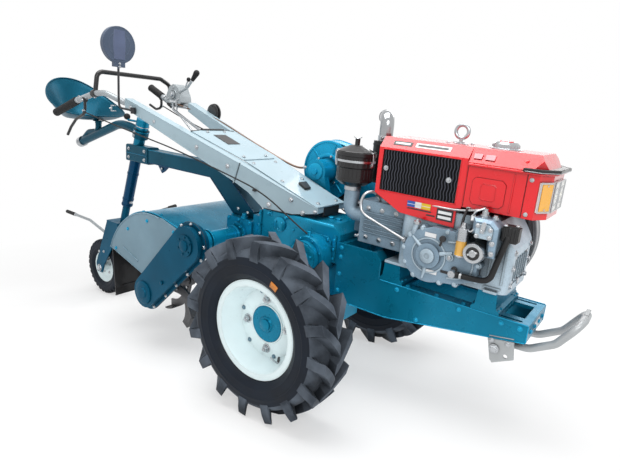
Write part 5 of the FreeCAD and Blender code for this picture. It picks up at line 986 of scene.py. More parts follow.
@piece("tank_details", red, seam_dark, zinc, label_black, label_rose)
def tank_details(mesh):
    """Pressed panels, seams, lip, rim trim, cap ring, drain plug and unions of the tank, and blank plates."""
    for side, out in SIDES:
        level = side * SIDE
        panel = [(556, 827), (634, 827), (646, 838), (646, 898), (634, 910), (556, 910), (546, 899),
                 (546, 838)]
        plate(mesh, upright(level, panel), out * 2.2, 0, 1.6)
        inner = [(580, 845), (612, 845), (618, 851), (618, 887), (612, 893), (580, 893), (574, 887),
                 (574, 851)]
        for ends in looped(upright(level + side * 2.4, inner)):
            bar(mesh, ends, 1.2, 0, 8)
        bar(mesh, [(527.5, level, 815), (527.5, level, 940)], 1.1, 1, 6)
        bar(mesh, [(697.5, level, 815), (697.5, level, 938)], 1.3, 1, 6)
        bar(mesh, upright(level + side * 0.4, [(664, 820), (664, 934)]), 2.4, 0, 8)
        for z in (826, 925):
            bolt(mesh, (710, level, z), out, 4.5, 2, 3.5)
    half_lip = [(530, SIDE + 5.5), (731, SIDE + 5.5), (762, 78.5)]
    half_edge = [(690, SIDE + 15.5), (735, SIDE + 15.5), (772.5, 82.5)]
    lip, edge = (half + [(x, -y) for x, y in reversed(half)] for half in (half_lip, half_edge))
    bar(mesh, [(x, y, 944) for x, y in lip], 3.6, smooth=False)
    bar(mesh, [(x, y, 948.7) for x, y in edge], 1.3, 2, 8, smooth=False)
    bar(mesh, [(x - 3, y * 0.98, 955.5) for x, y in edge], 2.4, 3, 8, smooth=False)
    for side in (-1, 1):
        for x in (557, 685):
            turned(mesh, (x, side * 108, 973), (0, side * 0.8, 0.6), [(-3, 0), (-3, 6), (1, 6), (2, 0)])
    turned(mesh, (610, 0, 813), DOWN, knob((6, 12), (6, 8), (12, 7.5)), 2, 6)
    for x, radius in ((548, 9.5), (574, 7.5)):
        turned(mesh, (x, -119.6, 813.5), DOWN, [(-3, 0), (-3, radius), (4, radius), (4, 0)], 2)
    cap = Vector((591, 0, HOOD_TOP))
    turned(mesh, cap, UP, [(-1, 40.5), (-1, 51.5), (2, 51.5), (4.5, 48), (4.5, 40.5)], 2, 64)
    for angle in turns(20):
        foot = cap + UP * 4 + spoke(angle, 39.8)
        bar(mesh, [foot, foot + UP * 9], 1.6, 2, 6)
    turned(mesh, cap + UP * 22.2, UP, [(-1, 0), (-1, 21.5), (3, 19), (4.2, 12), (4.2, 0)], 0, 40)
    turned(mesh, (447, 0, HOOD_TOP), UP, knob((2.5, 20.5), (3, 19.5)), 2, 40)
    for x, y in ((417, 30), (477, 30), (417, -30), (477, -30)):
        bolt(mesh, (x, y, HOOD_TOP), UP, 5.2, 2, 4)
    for rear, front in ((535, 560), (570, 598)):
        plate(mesh, [(rear, -119.5, 962.5), (front, -119.5, 962.5), (front, -108, 977), (rear, -108, 977)],
              Vector((0, -0.78, 0.62)) * 0.9, 4, 0.3)


@piece("lamp_details", chrome, clear_lens, label_silver, amber_lens)
def lamp_details(mesh):
    """Bezels, reflectors and dividers round the clear headlamp and the amber corner lamps."""
    low, high, front = 836, 921, 764
    for y0, y1 in ((-71, -4), (4, 71)):
        for ends in looped([(front, y0, low), (front, y1, low), (front, y1, high), (front, y0, high)]):
            bar(mesh, ends, 2.2, 0, 10)
        centre = Vector((front, (y0 + y1) / 2, (low + high) / 2))
        turned(mesh, centre, AHEAD, [(-1, 24), (1.2, 25.2), (1.2, 26.8), (-1, 28)], 0, 48)
        turned(mesh, centre, AHEAD, [(-1, 0), (-1, 8), (2.2, 7.2), (3, 0)], 1, 32)
    for side in (-1, 1):
        start, end = Vector((757, side * 75, 0)), Vector((730, side * SIDE, 0))
        run = end - start
        out = Vector((-run.y, run.x, 0)).normalized() * -side
        near, far = start + run * 0.06 + out * 7, start + run * 0.94 + out * 7
        for ends in looped([near + UP * low, far + UP * low, far + UP * high, near + UP * high]):
            bar(mesh, ends, 2, 2, 10)
        inner, outer = near.lerp(far, 0.07), near.lerp(far, 0.93)
        plate(mesh, [inner + UP * (low + 4), outer + UP * (low + 4), outer + UP * (high - 4),
                     inner + UP * (high - 4)],
              out * 1.6, 3, 0.8)
        for z in (low + 8.5, high - 8.5):
            bolt(mesh, (near + far) / 2 + out + UP * z, out, 2.8, 2, 2, washer=False)


@piece("cleaner_and_exhaust_details", black, zinc, soot, exhaust_chrome)
def cleaner_details(mesh):
    """Clamp bands, clips, wing nut and ribs of the air cleaner, and the exhaust's clamps and lip."""
    place = Vector((94, -62, 806))
    turned(mesh, place, UP, tube(71.6, 73.8, 92, 84), 1, 64)
    turned(mesh, place, UP, tube(65.5, 67.5, 23, 20), 0, 64)
    turned(mesh, place, UP, [(118, 72), (120.5, 73.5), (122.5, 71), (120.5, 68)], 0, 64)
    for angle in turns(3, -2.2):
        out = spoke(angle)
        foot = place + out * 73.5
        bar(mesh, [foot + UP * 70, foot + out * 4 + UP * 90, foot + out + UP * 117,
                   place + out * 66 + UP * 121.5],
            2.4, 1, 8)
        block(mesh, (-7, -2, -6), (7, 3, 8), 1, 0.8,
              Matrix.Translation(foot + UP * 76) @ Matrix.Rotation(angle + math.pi / 2, 4, "Z"))
    top = place + UP * 166
    turned(mesh, top, UP, [(-4, 0), (-4, 8.5), (0, 8.5), (3, 6), (3, 0)], 1, 20)
    for angle in turns(2, 0.5):
        out = spoke(angle)
        bar(mesh, [top + out * 4, top + UP * 2 + out * 9, top + UP * 6 + out * 14],
            lambda share: 2.2 + 1.4 * share,
            1, 10, flat=0.5)
    for angle in turns(28):
        for reach, low, high, radius in ((70.8, 68.5, 101, 1.8), (64.8, 27, 60, 1.6)):
            foot = place + spoke(angle, reach)
            bar(mesh, [foot + UP * low, foot + UP * high], radius, 0, 6)
    muffler = Vector((138, 62, 0))
    for z in (828, 950):
        turned(mesh, muffler + UP * z, UP, tube(41.8, 43.8, 6), 2, 56)
    turned(mesh, muffler + UP * 966, UP, tube(25.8, 28.5, 20, 4), 1, 48)
    block(mesh, (133, 21, 971.5), (143, 35, 984.5), 1, 1)
    bolt(mesh, (143, 27.5, 978), AHEAD, 4.2, 1, 4, washer=False)
    away = Vector((-0.578, 0.816, 0)).normalized()
    end = muffler + UP * 1054 + away * (26 * 2.3)
    turned(mesh, end, away, [(-6, 25.8), (-6, 27.8), (0, 27.8), (0.4, 23.5), (-6, 23.5)], 3, 48)
    turned(mesh, end, away, knob((-1, 23.8), foot=-2), 2, 40)


# ---------------------------------------------------------------- handle

ARM_HALF = 22.5
LID_AXIS = (0.3, 0, 0.954)


def on_nose(x, y, lift):
    """A point over the front half of the cover between the arms."""
    return (x, y, 694 + (-30 - x) * 0.3142 + lift)


def on_lid(x, y, lift):
    """A point over the rear half of the cover between the arms."""
    return (x, y, 820 + (-431 - x) * 0.3075 + lift)


@piece("arm_details", pale, seam_grey, zinc, black_plastic)
def arm_details(mesh):
    """Seams, welds, bolts, rolled edges, end collars and cable clips of both handle arms."""
    for side in (-1, 1):
        out = on_arm(side, 0, 1, 0) - on_arm(side, 0, 0, 0)
        seam = [on_arm(side, 388, ARM_HALF + 0.2, 816), on_arm(side, 413.5, ARM_HALF + 0.2, 727)]
        bar(mesh, seam, 1.8, 1, 8)
        bar(mesh, [point + BACK * 6 for point in seam], 2.6, 0, 8)
        for along, height, radius in ((633, 851, 7.5), (454, 793, 7.5), (229, 667, 8.5), (125, 706, 7.5),
                                      (67, 663, 7.5), (12, 676.5, 6.2), (900, 936, 6), (1060, 986, 7.5)):
            bolt(mesh, on_arm(side, along, ARM_HALF, height), out, radius, 2, turn=along * 0.009)
        low = [(259, 649.5), (336, 701.5), (402, 730), (700, 839), (1096, 982)]
        high = [(4, 690), (402, 815.5), (700, 905), (1096, 1025.5)]
        for edge, radius in ((low, 2.2), (high, 1.6)):
            bar(mesh, [on_arm(side, along, ARM_HALF - 0.5, height) for along, height in edge], radius, 0, 8,
                smooth=False)
        away = on_arm(side, 1, 0, 0) - on_arm(side, 0, 0, 0)
        turned(mesh, on_arm(side, 1100.5, 0, 1003.5), away,
               [(0, 14.5), (0, 20.5), (5, 19.5), (8.5, 16.2), (8.5, 14.5)])
        bar(mesh, [on_arm(side, along, ARM_HALF, 648.6) for along in (115, 255.5)], 1.6, 3, 6)
        clip = on_arm(side, 300, ARM_HALF, 716)
        inner, outer = sorted((-side, side * 12))
        block(mesh, clip + Vector((-9, inner, -4)), clip + Vector((9, outer, 4)), 3, 1.2)


@piece("cover_details", zinc, black_plastic, label_black, pale)
def cover_details(mesh):
    """Bolts, latch, blank plate, trim and rubber end of the cover between the arms."""
    for side in (-1, 1):
        for x, y in ((-55, 62), (-240, 66), (-400, 70)):
            bolt(mesh, on_nose(x, side * y, 2.2), LID_AXIS, 5.8, 0, 4.5)
        for x, y in ((-460, 70), (-715, 52)):
            bolt(mesh, on_lid(x, side * y, 4.5), LID_AXIS, 5.2, 0, 4)
        bar(mesh, [(-741, side * 67, 916), (-738, side * 100, 913), (-736, side * 129, 912)], 4, 1, 10)
    latch = [(-207, -4), (-156, -20), (-156, 18), (-207, 50)]
    slab(mesh, [on_nose(x, y, 3.2) for x, y in latch], 8, 1, 2)
    label = [(-685, -45), (-585, -45), (-585, 30), (-685, 30)]
    slab(mesh, [on_lid(x, y, 3.2) for x, y in label], 1.2, 2, 0.4)
    for x, z, half, radius, surface, segments in ((-431.5, 823.5, 94, 2.6, 3, 8), (-741, 917, 67, 7.2, 1, 12),
                                                  (-31, 696.5, 94, 3, 3, 10)):
        bar(mesh, [(x, -half, z), (x, half, z)], radius, surface, segments)
    block(mesh, (-36, -52, 655), (-30, 52, 689), 1, 1)


@piece("grips", grip_rubber, zinc)
def grips(mesh):
    """Ribbed rubber grips on the handlebars, with bright clamps."""
    ends = (((-1491, -240, 992), (-1714, -240, 914)), ((-1401, 210, 1041), (-1510, 210, 1085)))
    for start, end in ends:
        run = Vector(end) - Vector(start)
        foot = Vector(start) + run * 0.06
        reach = run.length * 0.94 + 6.2
        run.normalize()
        profile = [(-0.4, 0), (-0.4, 20.2), (6, 20.2), (7.5, 19.4)]
        place = 12
        while place < reach - 14:
            profile += [(place, 19.4), (place + 1.2, 20.1), (place + 3.4, 20.1), (place + 4.6, 19.4)]
            place += 7.5
        profile += [(reach - 8, 19.4), (reach - 6, 20.8), (reach - 1, 20.4), (reach, 17), (reach, 0)]
        turned(mesh, foot, run, profile, 0, 36)
        turned(mesh, foot - run * 30, run, tube(14.1, 16.2, 12), 1)
        bolt(mesh, foot - run * 24 + UP * 15.5, UP, 4.2, 1, 4)


@piece("bar_clamps", black_plastic, zinc)
def bar_clamps(mesh):
    """Clamps that hold the cross bar, the steering levers and the cables on the handlebars."""
    for place, run in ((Vector((-1331, -240, 1034.5)), Vector((-0.98, 0, -0.2))),
                       (Vector((-1328, 210, 1007)), Vector((-0.9, 0, 0.42)))):
        turned(mesh, place - run.normalized() * 14, run, tube(14.2, 18.5, 28))
        bolt(mesh, place + DOWN * 18, DOWN, 5, 1, 5)
    for y, z, out in ((-244, 1004, RIGHT), (212, 1040, LEFT)):
        block(mesh, (-1427, y - 12, z - 16), (-1407, y + 12, z + 8), 0, 3)
        stud(mesh, Vector((-1417, y, z - 8)) + out * 12, out, 3.2, 8, 1)
    for place, out in (((-1417, -253.5, 944), RIGHT), ((-1420, 222, 988), LEFT)):
        turned(mesh, place, out, tube(0, 6.5, 4, -6), 1, 20)


@piece("console_details", console_grey, zinc, label_white, grip_rubber)
def console_details(mesh):
    """Pivot nuts, dial ring, blank plate and black lever grips of the lever bracket."""
    middle = Vector((-1250, 200, 1056))
    face, inner = middle + RIGHT * 36, middle + LEFT * 26
    for out in (RIGHT, LEFT):
        bolt(mesh, middle + out * 44 + UP * 4, out, 10.5, 1, 9)
    for k, (x, z) in enumerate(((-42, -18), (42, -18), (0, 44))):
        bolt(mesh, face + Vector((x, 0, z)), RIGHT, 5.5, 1, 4.5, turn=k)
    turned(mesh, face + UP * 4, RIGHT, [(-1, 22.5), (3, 24), (3, 27.5), (-1, 29)], 0, 48)
    slab(mesh, [face + Vector(offset) for offset in upright(-0.2,
                                                            [(-30, -36), (30, -36), (30, -26), (-30, -26)])],
         1, 2, 0.3)
    foot = face + Vector((150, 6, 88))
    lean = Vector((45, 0, 52)).normalized()
    turned(mesh, foot, lean, [(-1, 0), (-1, 9.8), (4, 10.4), (30, 13.2), (42, 15.2), (50.5, 15.7), (57, 13.5),
                              (61.5, 9.2), (63.8, 4), (64.2, 0)], 3)
    turned(mesh, foot - lean * 8, lean, knob((7, 9.5), foot=0), 1, 6)
    ball = inner + Vector((50, 0, 90))
    bar(mesh, [inner + Vector((18, 0, 30)), inner + Vector((34, 0, 66)), ball], 4.2, 1, 10)
    turned(mesh, ball - Vector((4, 0, 8)), (0.4, 0, 0.9),
           [(0, 0), (0, 6), (4, 9.5), (11, 11.5), (18, 9.5), (22, 4), (22.5, 0)], 3)


@piece("clutch_rod", rod_brown, zinc)
def clutch_rod(mesh):
    """Pull rod of the main clutch, from the lever bracket down to the clutch's fork."""
    bar(mesh, [(-1222, 168, 1015), (-1150, 168, 1000), (-900, 166, 958), (-600, 150, 868), (-360, 150, 798),
               (-262, 150, 808)], 4.5)
    for place, run in (((-300, 150, 800), (1, 0, 0.05)), ((-1160, 168, 1001.5), (1, 0, -0.2))):
        turned(mesh, place, run, [(0, 0), (0, 7.5), (12, 7.5), (12, 6), (30, 6), (30, 0)], 1, 12)
    block(mesh, (-270, 143, 796), (-248, 157, 818), 1, 3)
    block(mesh, (-1232, 161, 1004), (-1212, 175, 1028), 1, 3)


@piece("mirror_details", mirror_shell, mirror_ridge, chrome, zinc)
def mirror_details(mesh):
    """Ridge, rim, neck and clamp of the round mirror, and its glass."""
    centre = Vector((-1109, -250, 1259))
    back = centre + AHEAD * 11
    ridge = []
    for k in range(15):
        up = -64 + 128 * k / 14
        half = 27 + 4 * math.cos(up / 64 * math.pi / 2)
        ridge.append([back + Vector((x, across_it * half, up * share)) for x, across_it, share in
                      ((-0.4, -1, 1), (1.6, -0.92, 0.99), (2, 0, 0.98), (1.6, 0.92, 0.99), (-0.4, 1, 1))])
    skin(mesh, ridge, 1)
    turned(mesh, back, AHEAD,
           [(-22, 79.6), (-22.5, 79.9), (-14, 79.9), (-4, 79.9), (0.4, 77), (0.4, 74.5), (-1, 74.5)], 0, 96)
    turned(mesh, back, AHEAD, [(-0.5, 50), (0.6, 51.5), (0.6, 54.5), (-0.5, 56)], 0, 96)
    turned(mesh, centre + BACK * 11, BACK, knob((0.4, 73), (0.6, 70), foot=-0.4), 2, 96)
    for z in (-81, -94.5):
        bolt(mesh, back + UP * z, AHEAD, 4.2, 3, 3.5)
    foot = on_arm(-1, 1168, ARM_HALF + 11.3, 974)
    for z in (-14.2, 11):
        turned(mesh, foot + UP * z, UP, tube(10.8, 12.4, 4), 3, 28)
    stud(mesh, foot + RIGHT * 10.5, RIGHT, 3.5, 9, 3)


# ---------------------------------------------------------------- gearbox, frame and belt drive

MAIN_AXLE = Vector((0, 0, WHEEL_RADIUS))
STEERING = Vector((-8, 0, 525))
REAR_BOSS = Vector((-199, 0, 597))


@piece("gearbox_details", teal_lit, teal_brightly_lit, teal_lit)
def gearbox_details(mesh):
    """Bolts, flanges, bosses, steering drums, levers and filler plugs of the gearbox. The bolts, studs,
    levers and plugs take the brightly lit teal copy, the rest the lit one: painted light.
    """
    for side, out in SIDES:
        face = side * 110
        for x in (-255, -165):
            stud(mesh, (x, face, 632), out, 5.5, 13, 1)
        for x, low, high in ((-310, 508, 636), (66, 508, 612)):
            block(mesh, (x, min(face, face + side * 6), low), (x + 13, max(face, face + side * 6), high))
            for z in (low + 16, (low + high) / 2, high - 16):
                bolt(mesh, (x + 6.5, face + side * 6, z), out, 5.8, 1, 5, washer=False, turn=z * 0.04)
        turned(mesh, REAR_BOSS + out * 110, out, [(-1, 0), (-1, 31), (6, 30), (9, 26), (9, 0)], 0, 40)
        bolt_ring(mesh, REAR_BOSS + out * 119, out, 19, 3, 0.5, 4.5, 1, 4, follow=False)
        bolt_ring(mesh, STEERING + out * 181, out, 69, 8, math.tau / 16, 4.5, 1, 4)
        drum = STEERING + out * 205
        turned(mesh, drum, out, [(-1, 0), (-1, 57), (2, 57.5), (4, 54), (4, 33), (9, 30), (9, 0)], 0, 56)
        turned(mesh, STEERING + out * 181, out,
               [(-0.6, 62.5), (1, 62.8), (1, 75.5), (-6, 76.8), (-6, 75.8), (-0.6, 75)], 2, 72)
        bolt_ring(mesh, drum + out * 4, out, 45, 6, 0.3, 4.8, 1, 4)
        bar(mesh, [(-8, side * 169, 600), (-8, side * 169, 619.5)], 6.2, 1)
        block(mesh, (-20, side * 169 - 9, 598.5), (4, side * 169 + 9, 603.5), 1, 1)
        bolt_ring(mesh, MAIN_AXLE + out * 91, out, 56, 8, 0.2, 6, 1, 5, washer=True)
        cover = [(-130, 512), (45, 512), (56, 530), (56, 585), (40, 602), (-120, 602), (-138, 585),
                 (-138, 530)]
        plate(mesh, upright(face, cover), out * 4)
        for x, z in ((-125, 525), (-125, 590), (43, 590), (-40, 593)):
            bolt(mesh, (x, face + side * 4, z), out, 5.2, 1, 4.5, washer=False, turn=x * 0.04)
    for x in (-15, 20):
        turned(mesh, (x, -20, 648), UP, knob((6, 13), (7.5, 11)), 1, 6)
    for y in range(-80, 81, 40):
        bolt(mesh, (-310, y, 620), BACK, 6, 1, 5)


@piece("frame_details", teal, teal_brightly_lit, teal_brightly_lit, label_silver)
def frame_details(mesh):
    """Bolts on the rails and feet, rolled edges and welds, and a blank plate at the frame's nose. The bolts
    and the rolled edges take the brightly lit teal copy: painted highlights.
    """
    rail = 117
    for side, out in SIDES:
        for x in (378, 483, 575):
            bolt(mesh, (x, side * 100, 500), UP, 6.8, 1, 6, turn=x * 0.02)
        for x in (356.5, 606.5, 683.5):
            for y in (80, 105):
                bolt(mesh, (x, side * y, 512), UP, 5.5, 1, 5, washer=False, turn=y * 0.05)
        for x, z in ((347, 484), (567, 485), (700, 485), (755, 485), (430, 400)):
            bolt(mesh, (x, side * rail, z), out, 6.2, 1, 5, turn=x * 0.03)
        for z in (410, 475, 540, 575):
            bolt(mesh, (108, side * rail, z), out, 6.5, 1, 6, turn=z * 0.03)
        bar(mesh, upright(side * rail, [(273.5, 503), (273.5, 535), (273.5, 564)]), 2.6, 0, 8, smooth=False)
        bar(mesh, upright(side * (rail + 0.2), [(278, 500.5), (776, 500.5)]), 2, 2, 8)
        bar(mesh, upright(side * rail, [(100, 369.5), (313, 369.5), (776, 444.5)]), 2.2, 2, 8, smooth=False)
        bar(mesh, upright(side * rail, [(777, 446), (777, 499)]), 2.2, 2, 8)
        for x in (284.5, 351.5, 611.5, 678.5):
            bar(mesh, [(x, side * 65.5, 519.5), (x, side * 116.5, 519.5)], 2.2, 0, 8)
    for y in (-80, -27, 27, 80):
        bolt(mesh, (778, y, 472), AHEAD, 6.5, 1, 5.5, turn=y * 0.03)
    slab(mesh, [(778.2, 34, 486.5), (778.2, -34, 486.5), (778.2, -34, 458), (778.2, 34, 458)], 1, 3, 0.3)


def belt_line(top, low, wide, narrow, level, steps):
    """A closed outline round two centres, at their radii, from the first centre's far side."""
    run = (low - top).normalized()
    side = Vector((-run.z, 0, run.x))
    line = []
    for centre, radius, way in ((top, wide, -1), (low, narrow, 1)):
        for k in range(steps + 1):
            angle = math.radians(way * (90 - 180 * k / steps))
            out = side * math.sin(angle) + run * math.cos(angle) * way
            line.append(centre + out * radius + LEFT * level)
    return line


@piece("belt_drive_details", teal_brightly_lit, zinc, label_white)
def belt_drive_details(mesh):
    """Rims, ribs, bolts and a blank label on the belt guard, and the clutch bearing's cap. The teal ones take
    the guard's brightly lit copy: painted light.
    """
    clutch = Vector((-215, 0, 795))
    inner, outer = 214, 284
    run = (clutch - CRANK).normalized()
    for grow, level, radius in ((0, outer - 1.2, 3.2), (-30, outer - 0.4, 3.4)):
        line = belt_line(CRANK, clutch, 116 + grow, 133 + grow, level, 24)
        bar(mesh, line + line[:1], radius, 0, 8, smooth=False)
    place = clutch + LEFT * inner
    turned(mesh, place, RIGHT, [(-1, 56), (4, 57.5), (6.5, 62), (6.5, 72), (4, 76.5), (-1, 78)], 0, 72)
    turned(mesh, place, RIGHT, [(-1, 122), (3, 123.5), (3, 130.5), (-1, 132)], 0, 96)
    for angle in turns(6, 0.25):
        bar(mesh, [place + ray(angle, 77) + LEFT * 0.5, place + ray(angle, 122.5) + LEFT * 0.5], 5.2, 0, 8)
    bolt_ring(mesh, place + RIGHT * 6.5, RIGHT, 67, 6, 0.25, 5.5, 1, 5)
    for centre, radius in ((clutch, 40), (CRANK, 36)):
        turned(mesh, centre + LEFT * outer, LEFT, [(-1, 0), (-1, radius), (4, radius - 1), (6, radius - 6),
                                                   (6, 0)],
               0, 56)
        bolt(mesh, centre + LEFT * (outer + 6), LEFT, 9, 1, 7)
    middle = (clutch + CRANK) / 2 + LEFT * outer
    lean = Matrix.Translation(middle) @ Matrix.Rotation(math.atan2(105, 695), 4, "Y")
    block(mesh, (-85, -0.2, -22), (85, 1, 22), 2, 0.3, lean)
    for along in (-200, 200):
        bolt(mesh, middle + run * along + LEFT * 0.5, LEFT, 6.5, 1, 5)
    bolt_ring(mesh, (-160, 121.8, 588), LEFT, 37, 4, 0.6, 5.8, 1, 5, washer=True)
    turned(mesh, clutch + LEFT * 122.5, RIGHT,
           [(-1, 0), (-1, 38), (4, 37.5), (6, 30), (6, 14), (12, 13), (12, 0)], 0, 48)


# ---------------------------------------------------------------- tiller

CHAIN_TOP = Vector((-490, 0, 478))
CHAIN_LOW = Vector((-766, 0, 190))
ROTOR = CHAIN_LOW
HOOD_CENTRE = Vector((-800, 0, 190))
CROSS_TUBE = Vector((-480, 0, 482))


@piece("chain_case_details", zinc, teal_in_deep_shade, label_black)
def chain_case_details(mesh):
    """Flange bolts, bearing caps, oil plug and seam of the chain case. The caps, the plug and the caps' bolts
    take the deep-shade teal copy: painted shade.
    """
    flange, face = -326, -350
    run = (CHAIN_LOW - CHAIN_TOP).normalized()
    side = Vector((-run.z, 0, run.x))
    for angle in map(math.radians, (-80, -40, 0, 40, 80)):
        for centre, reach, way in ((CHAIN_TOP, 87, -1), (CHAIN_LOW, 77, 1)):
            out = side * math.sin(angle) + run * math.cos(angle) * way
            bolt(mesh, centre + out * reach + LEFT * flange, RIGHT, 5.5, 0, 5, turn=angle)
    for share in (0.25, 0.5, 0.75):
        for way in (-1, 1):
            place = CHAIN_TOP.lerp(CHAIN_LOW, share) + side * way * (87 - 10 * share) + LEFT * flange
            bolt(mesh, place, RIGHT, 5.5, 0, 5, turn=share)
    bolt_ring(mesh, CHAIN_TOP + LEFT * (face - 6), RIGHT, 36, 6, 0.4, 4.5, 1, 3, follow=False)
    turned(mesh, CHAIN_LOW + LEFT * face, RIGHT,
           [(-1, 0), (-1, 54), (5, 53), (7, 50), (7, 27), (12, 24), (13, 0)], 1, 56)
    turned(mesh, CHAIN_TOP + LEFT * (face - 6), RIGHT, [(-1, 0), (-1, 24), (4, 23), (6, 18), (6, 0)], 1, 48)
    plug = CHAIN_TOP.lerp(CHAIN_LOW, 0.62) + side * 35 + LEFT * face
    turned(mesh, plug, RIGHT, knob((6, 9), (7, 7.5)), 1, 6)
    line = belt_line(CHAIN_TOP, CHAIN_LOW, 94.5, 84.5, -320, 16)
    bar(mesh, line + line[:1], 1.2, 2, 6, smooth=False)


def on_hood(degrees, radius, y):
    """A place on the tiller's rolled hood."""
    return HOOD_CENTRE + ray(math.radians(degrees), radius) + LEFT * y


@piece("tiller_details", teal_lit, teal_brightly_lit, shield_grey, teal_lit)
def tiller_details(mesh):
    """Rolled edges, bolts and hinge lugs of the tiller's hood, shields, cross tube, drive box and arm. All
    but the shields' edges take the lit teal copies: painted light.
    """
    start = on_hood(78, 350, 0)
    lead_x = -550.3
    lead_z = start.z - (lead_x - start.x) / math.tan(math.radians(78)) + 0.5
    for y in (-279.5, 279.5):
        line = [on_hood(degrees, 350.5, y) for degrees in range(160, 77, -4)] + [Vector((lead_x, y, lead_z))]
        bar(mesh, line, 3.4, 0, 8, smooth=False)
    for degrees in (150, 128, 106, 84):
        for y in (-262, 262):
            bolt(mesh, on_hood(degrees, 350, y), ray(math.radians(degrees)), 5.8, 0, 5, turn=degrees)
    for y in (-240, 0, 240):
        place = on_hood(160, 352.5, y)
        block(mesh, place + Vector((-12, -14, -12)), place + Vector((4, 14, 4)), 0, 3)
    for side, out in SIDES:
        face = side * 289.7
        for x, z in ((-640, 490), (-830, 500), (-980, 430), (-1080, 310)):
            bolt(mesh, (x, face, z), out, 6.2, 1, 5, turn=x * 0.02)
        bar(mesh, [on_hood(degrees, 345, face) for degrees in range(160, 77, -4)], 3, 2, 8, smooth=False)
        bar(mesh, upright(face, [(-1128.5, 309), (-860, 238), (-592, 441), (-602, 499)]), 2.8, 2, 8,
            smooth=False)
        bar(mesh, upright(face, [(-1020, 330), (-900, 290)]), 4.2, 2, 8)
        corners = [(-540, 436), (-410, 436), (-410, 548), (-540, 548), (-475, 550), (-410, 490)]
        for k, place in enumerate(upright(side * 65, corners)):
            bolt(mesh, place, out, 5.5, 1, 5, turn=k)
    for y, out in ((-276, LEFT), (-79, RIGHT), (79, LEFT), (276, RIGHT)):
        bolt_ring(mesh, CROSS_TUBE + LEFT * y, out, 48.5, 8, 0.2, 5, 1, 4.5)
    for y, radius in ((-268, 52), (-255, 46), (-241, 50), (-95, 46), (200, 42)):
        turned(mesh, CROSS_TUBE + LEFT * (y - 6), LEFT, [(0, 37.8), (0, radius - 1), (1, radius), (8, radius),
                                                         (9, radius - 1), (9, 37.8)], 3, 56)
    turned(mesh, (-452, -55, 560), UP, knob((10, 16), (10, 11), (22, 10.5), (24, 8)), 1)
    for y in (-45, 45):
        bolt(mesh, (-535, y, 560), UP, 6, 1, 5)
    arm, top = ROTOR + LEFT * 304, CROSS_TUBE + LEFT * 304
    turned(mesh, arm, LEFT, [(-1, 0), (-1, 45), (6, 44), (8, 40), (8, 20), (13, 18), (13, 0)], 0, 48)
    turned(mesh, top, LEFT, [(-1, 0), (-1, 36), (5, 35), (7, 30), (7, 0)], 0, 48)
    bolt_ring(mesh, arm + LEFT * 8, LEFT, 33.5, 6, 0.3, 4.8, 1, 4, follow=False)
    bolt_ring(mesh, top + RIGHT * 0.2, LEFT, 50, 6, 0.3, 5.2, 1, 4, follow=False)


# ---------------------------------------------------------------- seat, tail column, tail wheel and stand

LEAN = math.radians(17.6)
DOWN_COLUMN = Vector((-math.sin(LEAN), 0, -math.cos(LEAN)))
COLUMN_TOP = Vector((-1285, 0, 905))
TAIL = Vector((-1640, 0, 0))


def on_column(along):
    """A place on the tail column's axis, down from its top."""
    return COLUMN_TOP + DOWN_COLUMN * along


@piece("column_details", teal_navy_below, zinc, grip_rubber)
def column_details(mesh):
    """Clamp bolts, rings, nuts and crank knob of the tail column, and the beam's edges and lug. Most take the
    column's paint, which turns dark navy below a height as painted shade.
    """
    for side, out in SIDES:
        for x in (-1362, -1222):
            for z in (712, 758):
                bolt(mesh, (x, side * 36, z), out, 6.8, 1, 6, turn=(x + z) * 0.001)
        bar(mesh, upright(side * 36.5, [(-1385, 735), (-1200, 735)]), 3, 0, 8)
        for edge in ([(-1190, 702.5), (-710, 702.5), (-545, 563)],
                     [(-1190, 769.5), (-690, 769.5), (-640, 760), (-420, 590)]):
            bar(mesh, upright(side * 32, edge), 2.4, 0, 8, smooth=False)
        for x, z in ((-515, 588), (-455, 580)):
            bolt(mesh, (x, side * 32, z), out, 6, 1, 5)
        for along in (55, 76):
            bolt(mesh, on_column(along) + out * 40.8, out, 6, 1, 5)
    slab(mesh, upright(-24, [(-1125, 703.5), (-1030, 703.5), (-1062, 676), (-1088, 662)]), 8, 0, 1.5)
    bolt(mesh, (-1083, -28, 686), RIGHT, 5, 1, 4)
    turned(mesh, on_column(20), DOWN_COLUMN, tube(33.5, 36.2, 4), 1, 48)
    turned(mesh, on_column(46), DOWN_COLUMN, tube(40.8, 42.4, 4), 0, 48)
    for along in (300, 460, 495):
        turned(mesh, on_column(along), DOWN_COLUMN, [(0, 28.8), (0.6, 31.2), (8, 31.2), (8.6, 28.8)], 0, 48)
    stud(mesh, on_column(478) + Vector((29, 0, -3)), (0.95, 0, -0.3), 4.5, 14, 1)
    ball = 17.4
    turned(mesh, (-1432, 0, 922 - ball), UP,
           [(ball - ball * math.cos(math.pi * k / 16), ball * math.sin(math.pi * k / 16)) for k in range(17)],
           2, 40)
    turned(mesh, on_column(-16), -DOWN_COLUMN, knob((2, 15.5), (4, 13)), 1, 6)


SEAT = Vector((-1830, 0, 875))
SEAT_FRONT, SEAT_BACK, SEAT_HALF_WIDTH = 179, 248, 203.5


def seat_point(share, angle, lift=0.0):
    """A place in the seat's bowl: a share of the way to its rim, at an angle from its front."""
    along, aside = math.cos(angle), math.sin(angle)
    rim = 28 + 194 * ((1.0 - along) / 2) ** 2.1
    rise = max(0.0, (share - 0.56) / 0.44) ** 1.5
    reach = SEAT_FRONT if along > 0 else SEAT_BACK
    return SEAT + Vector((share * reach * math.copysign(abs(along) ** 0.92, along),
                          share * SEAT_HALF_WIDTH * math.copysign(abs(aside) ** 0.92, aside),
                          rim * rise + lift))


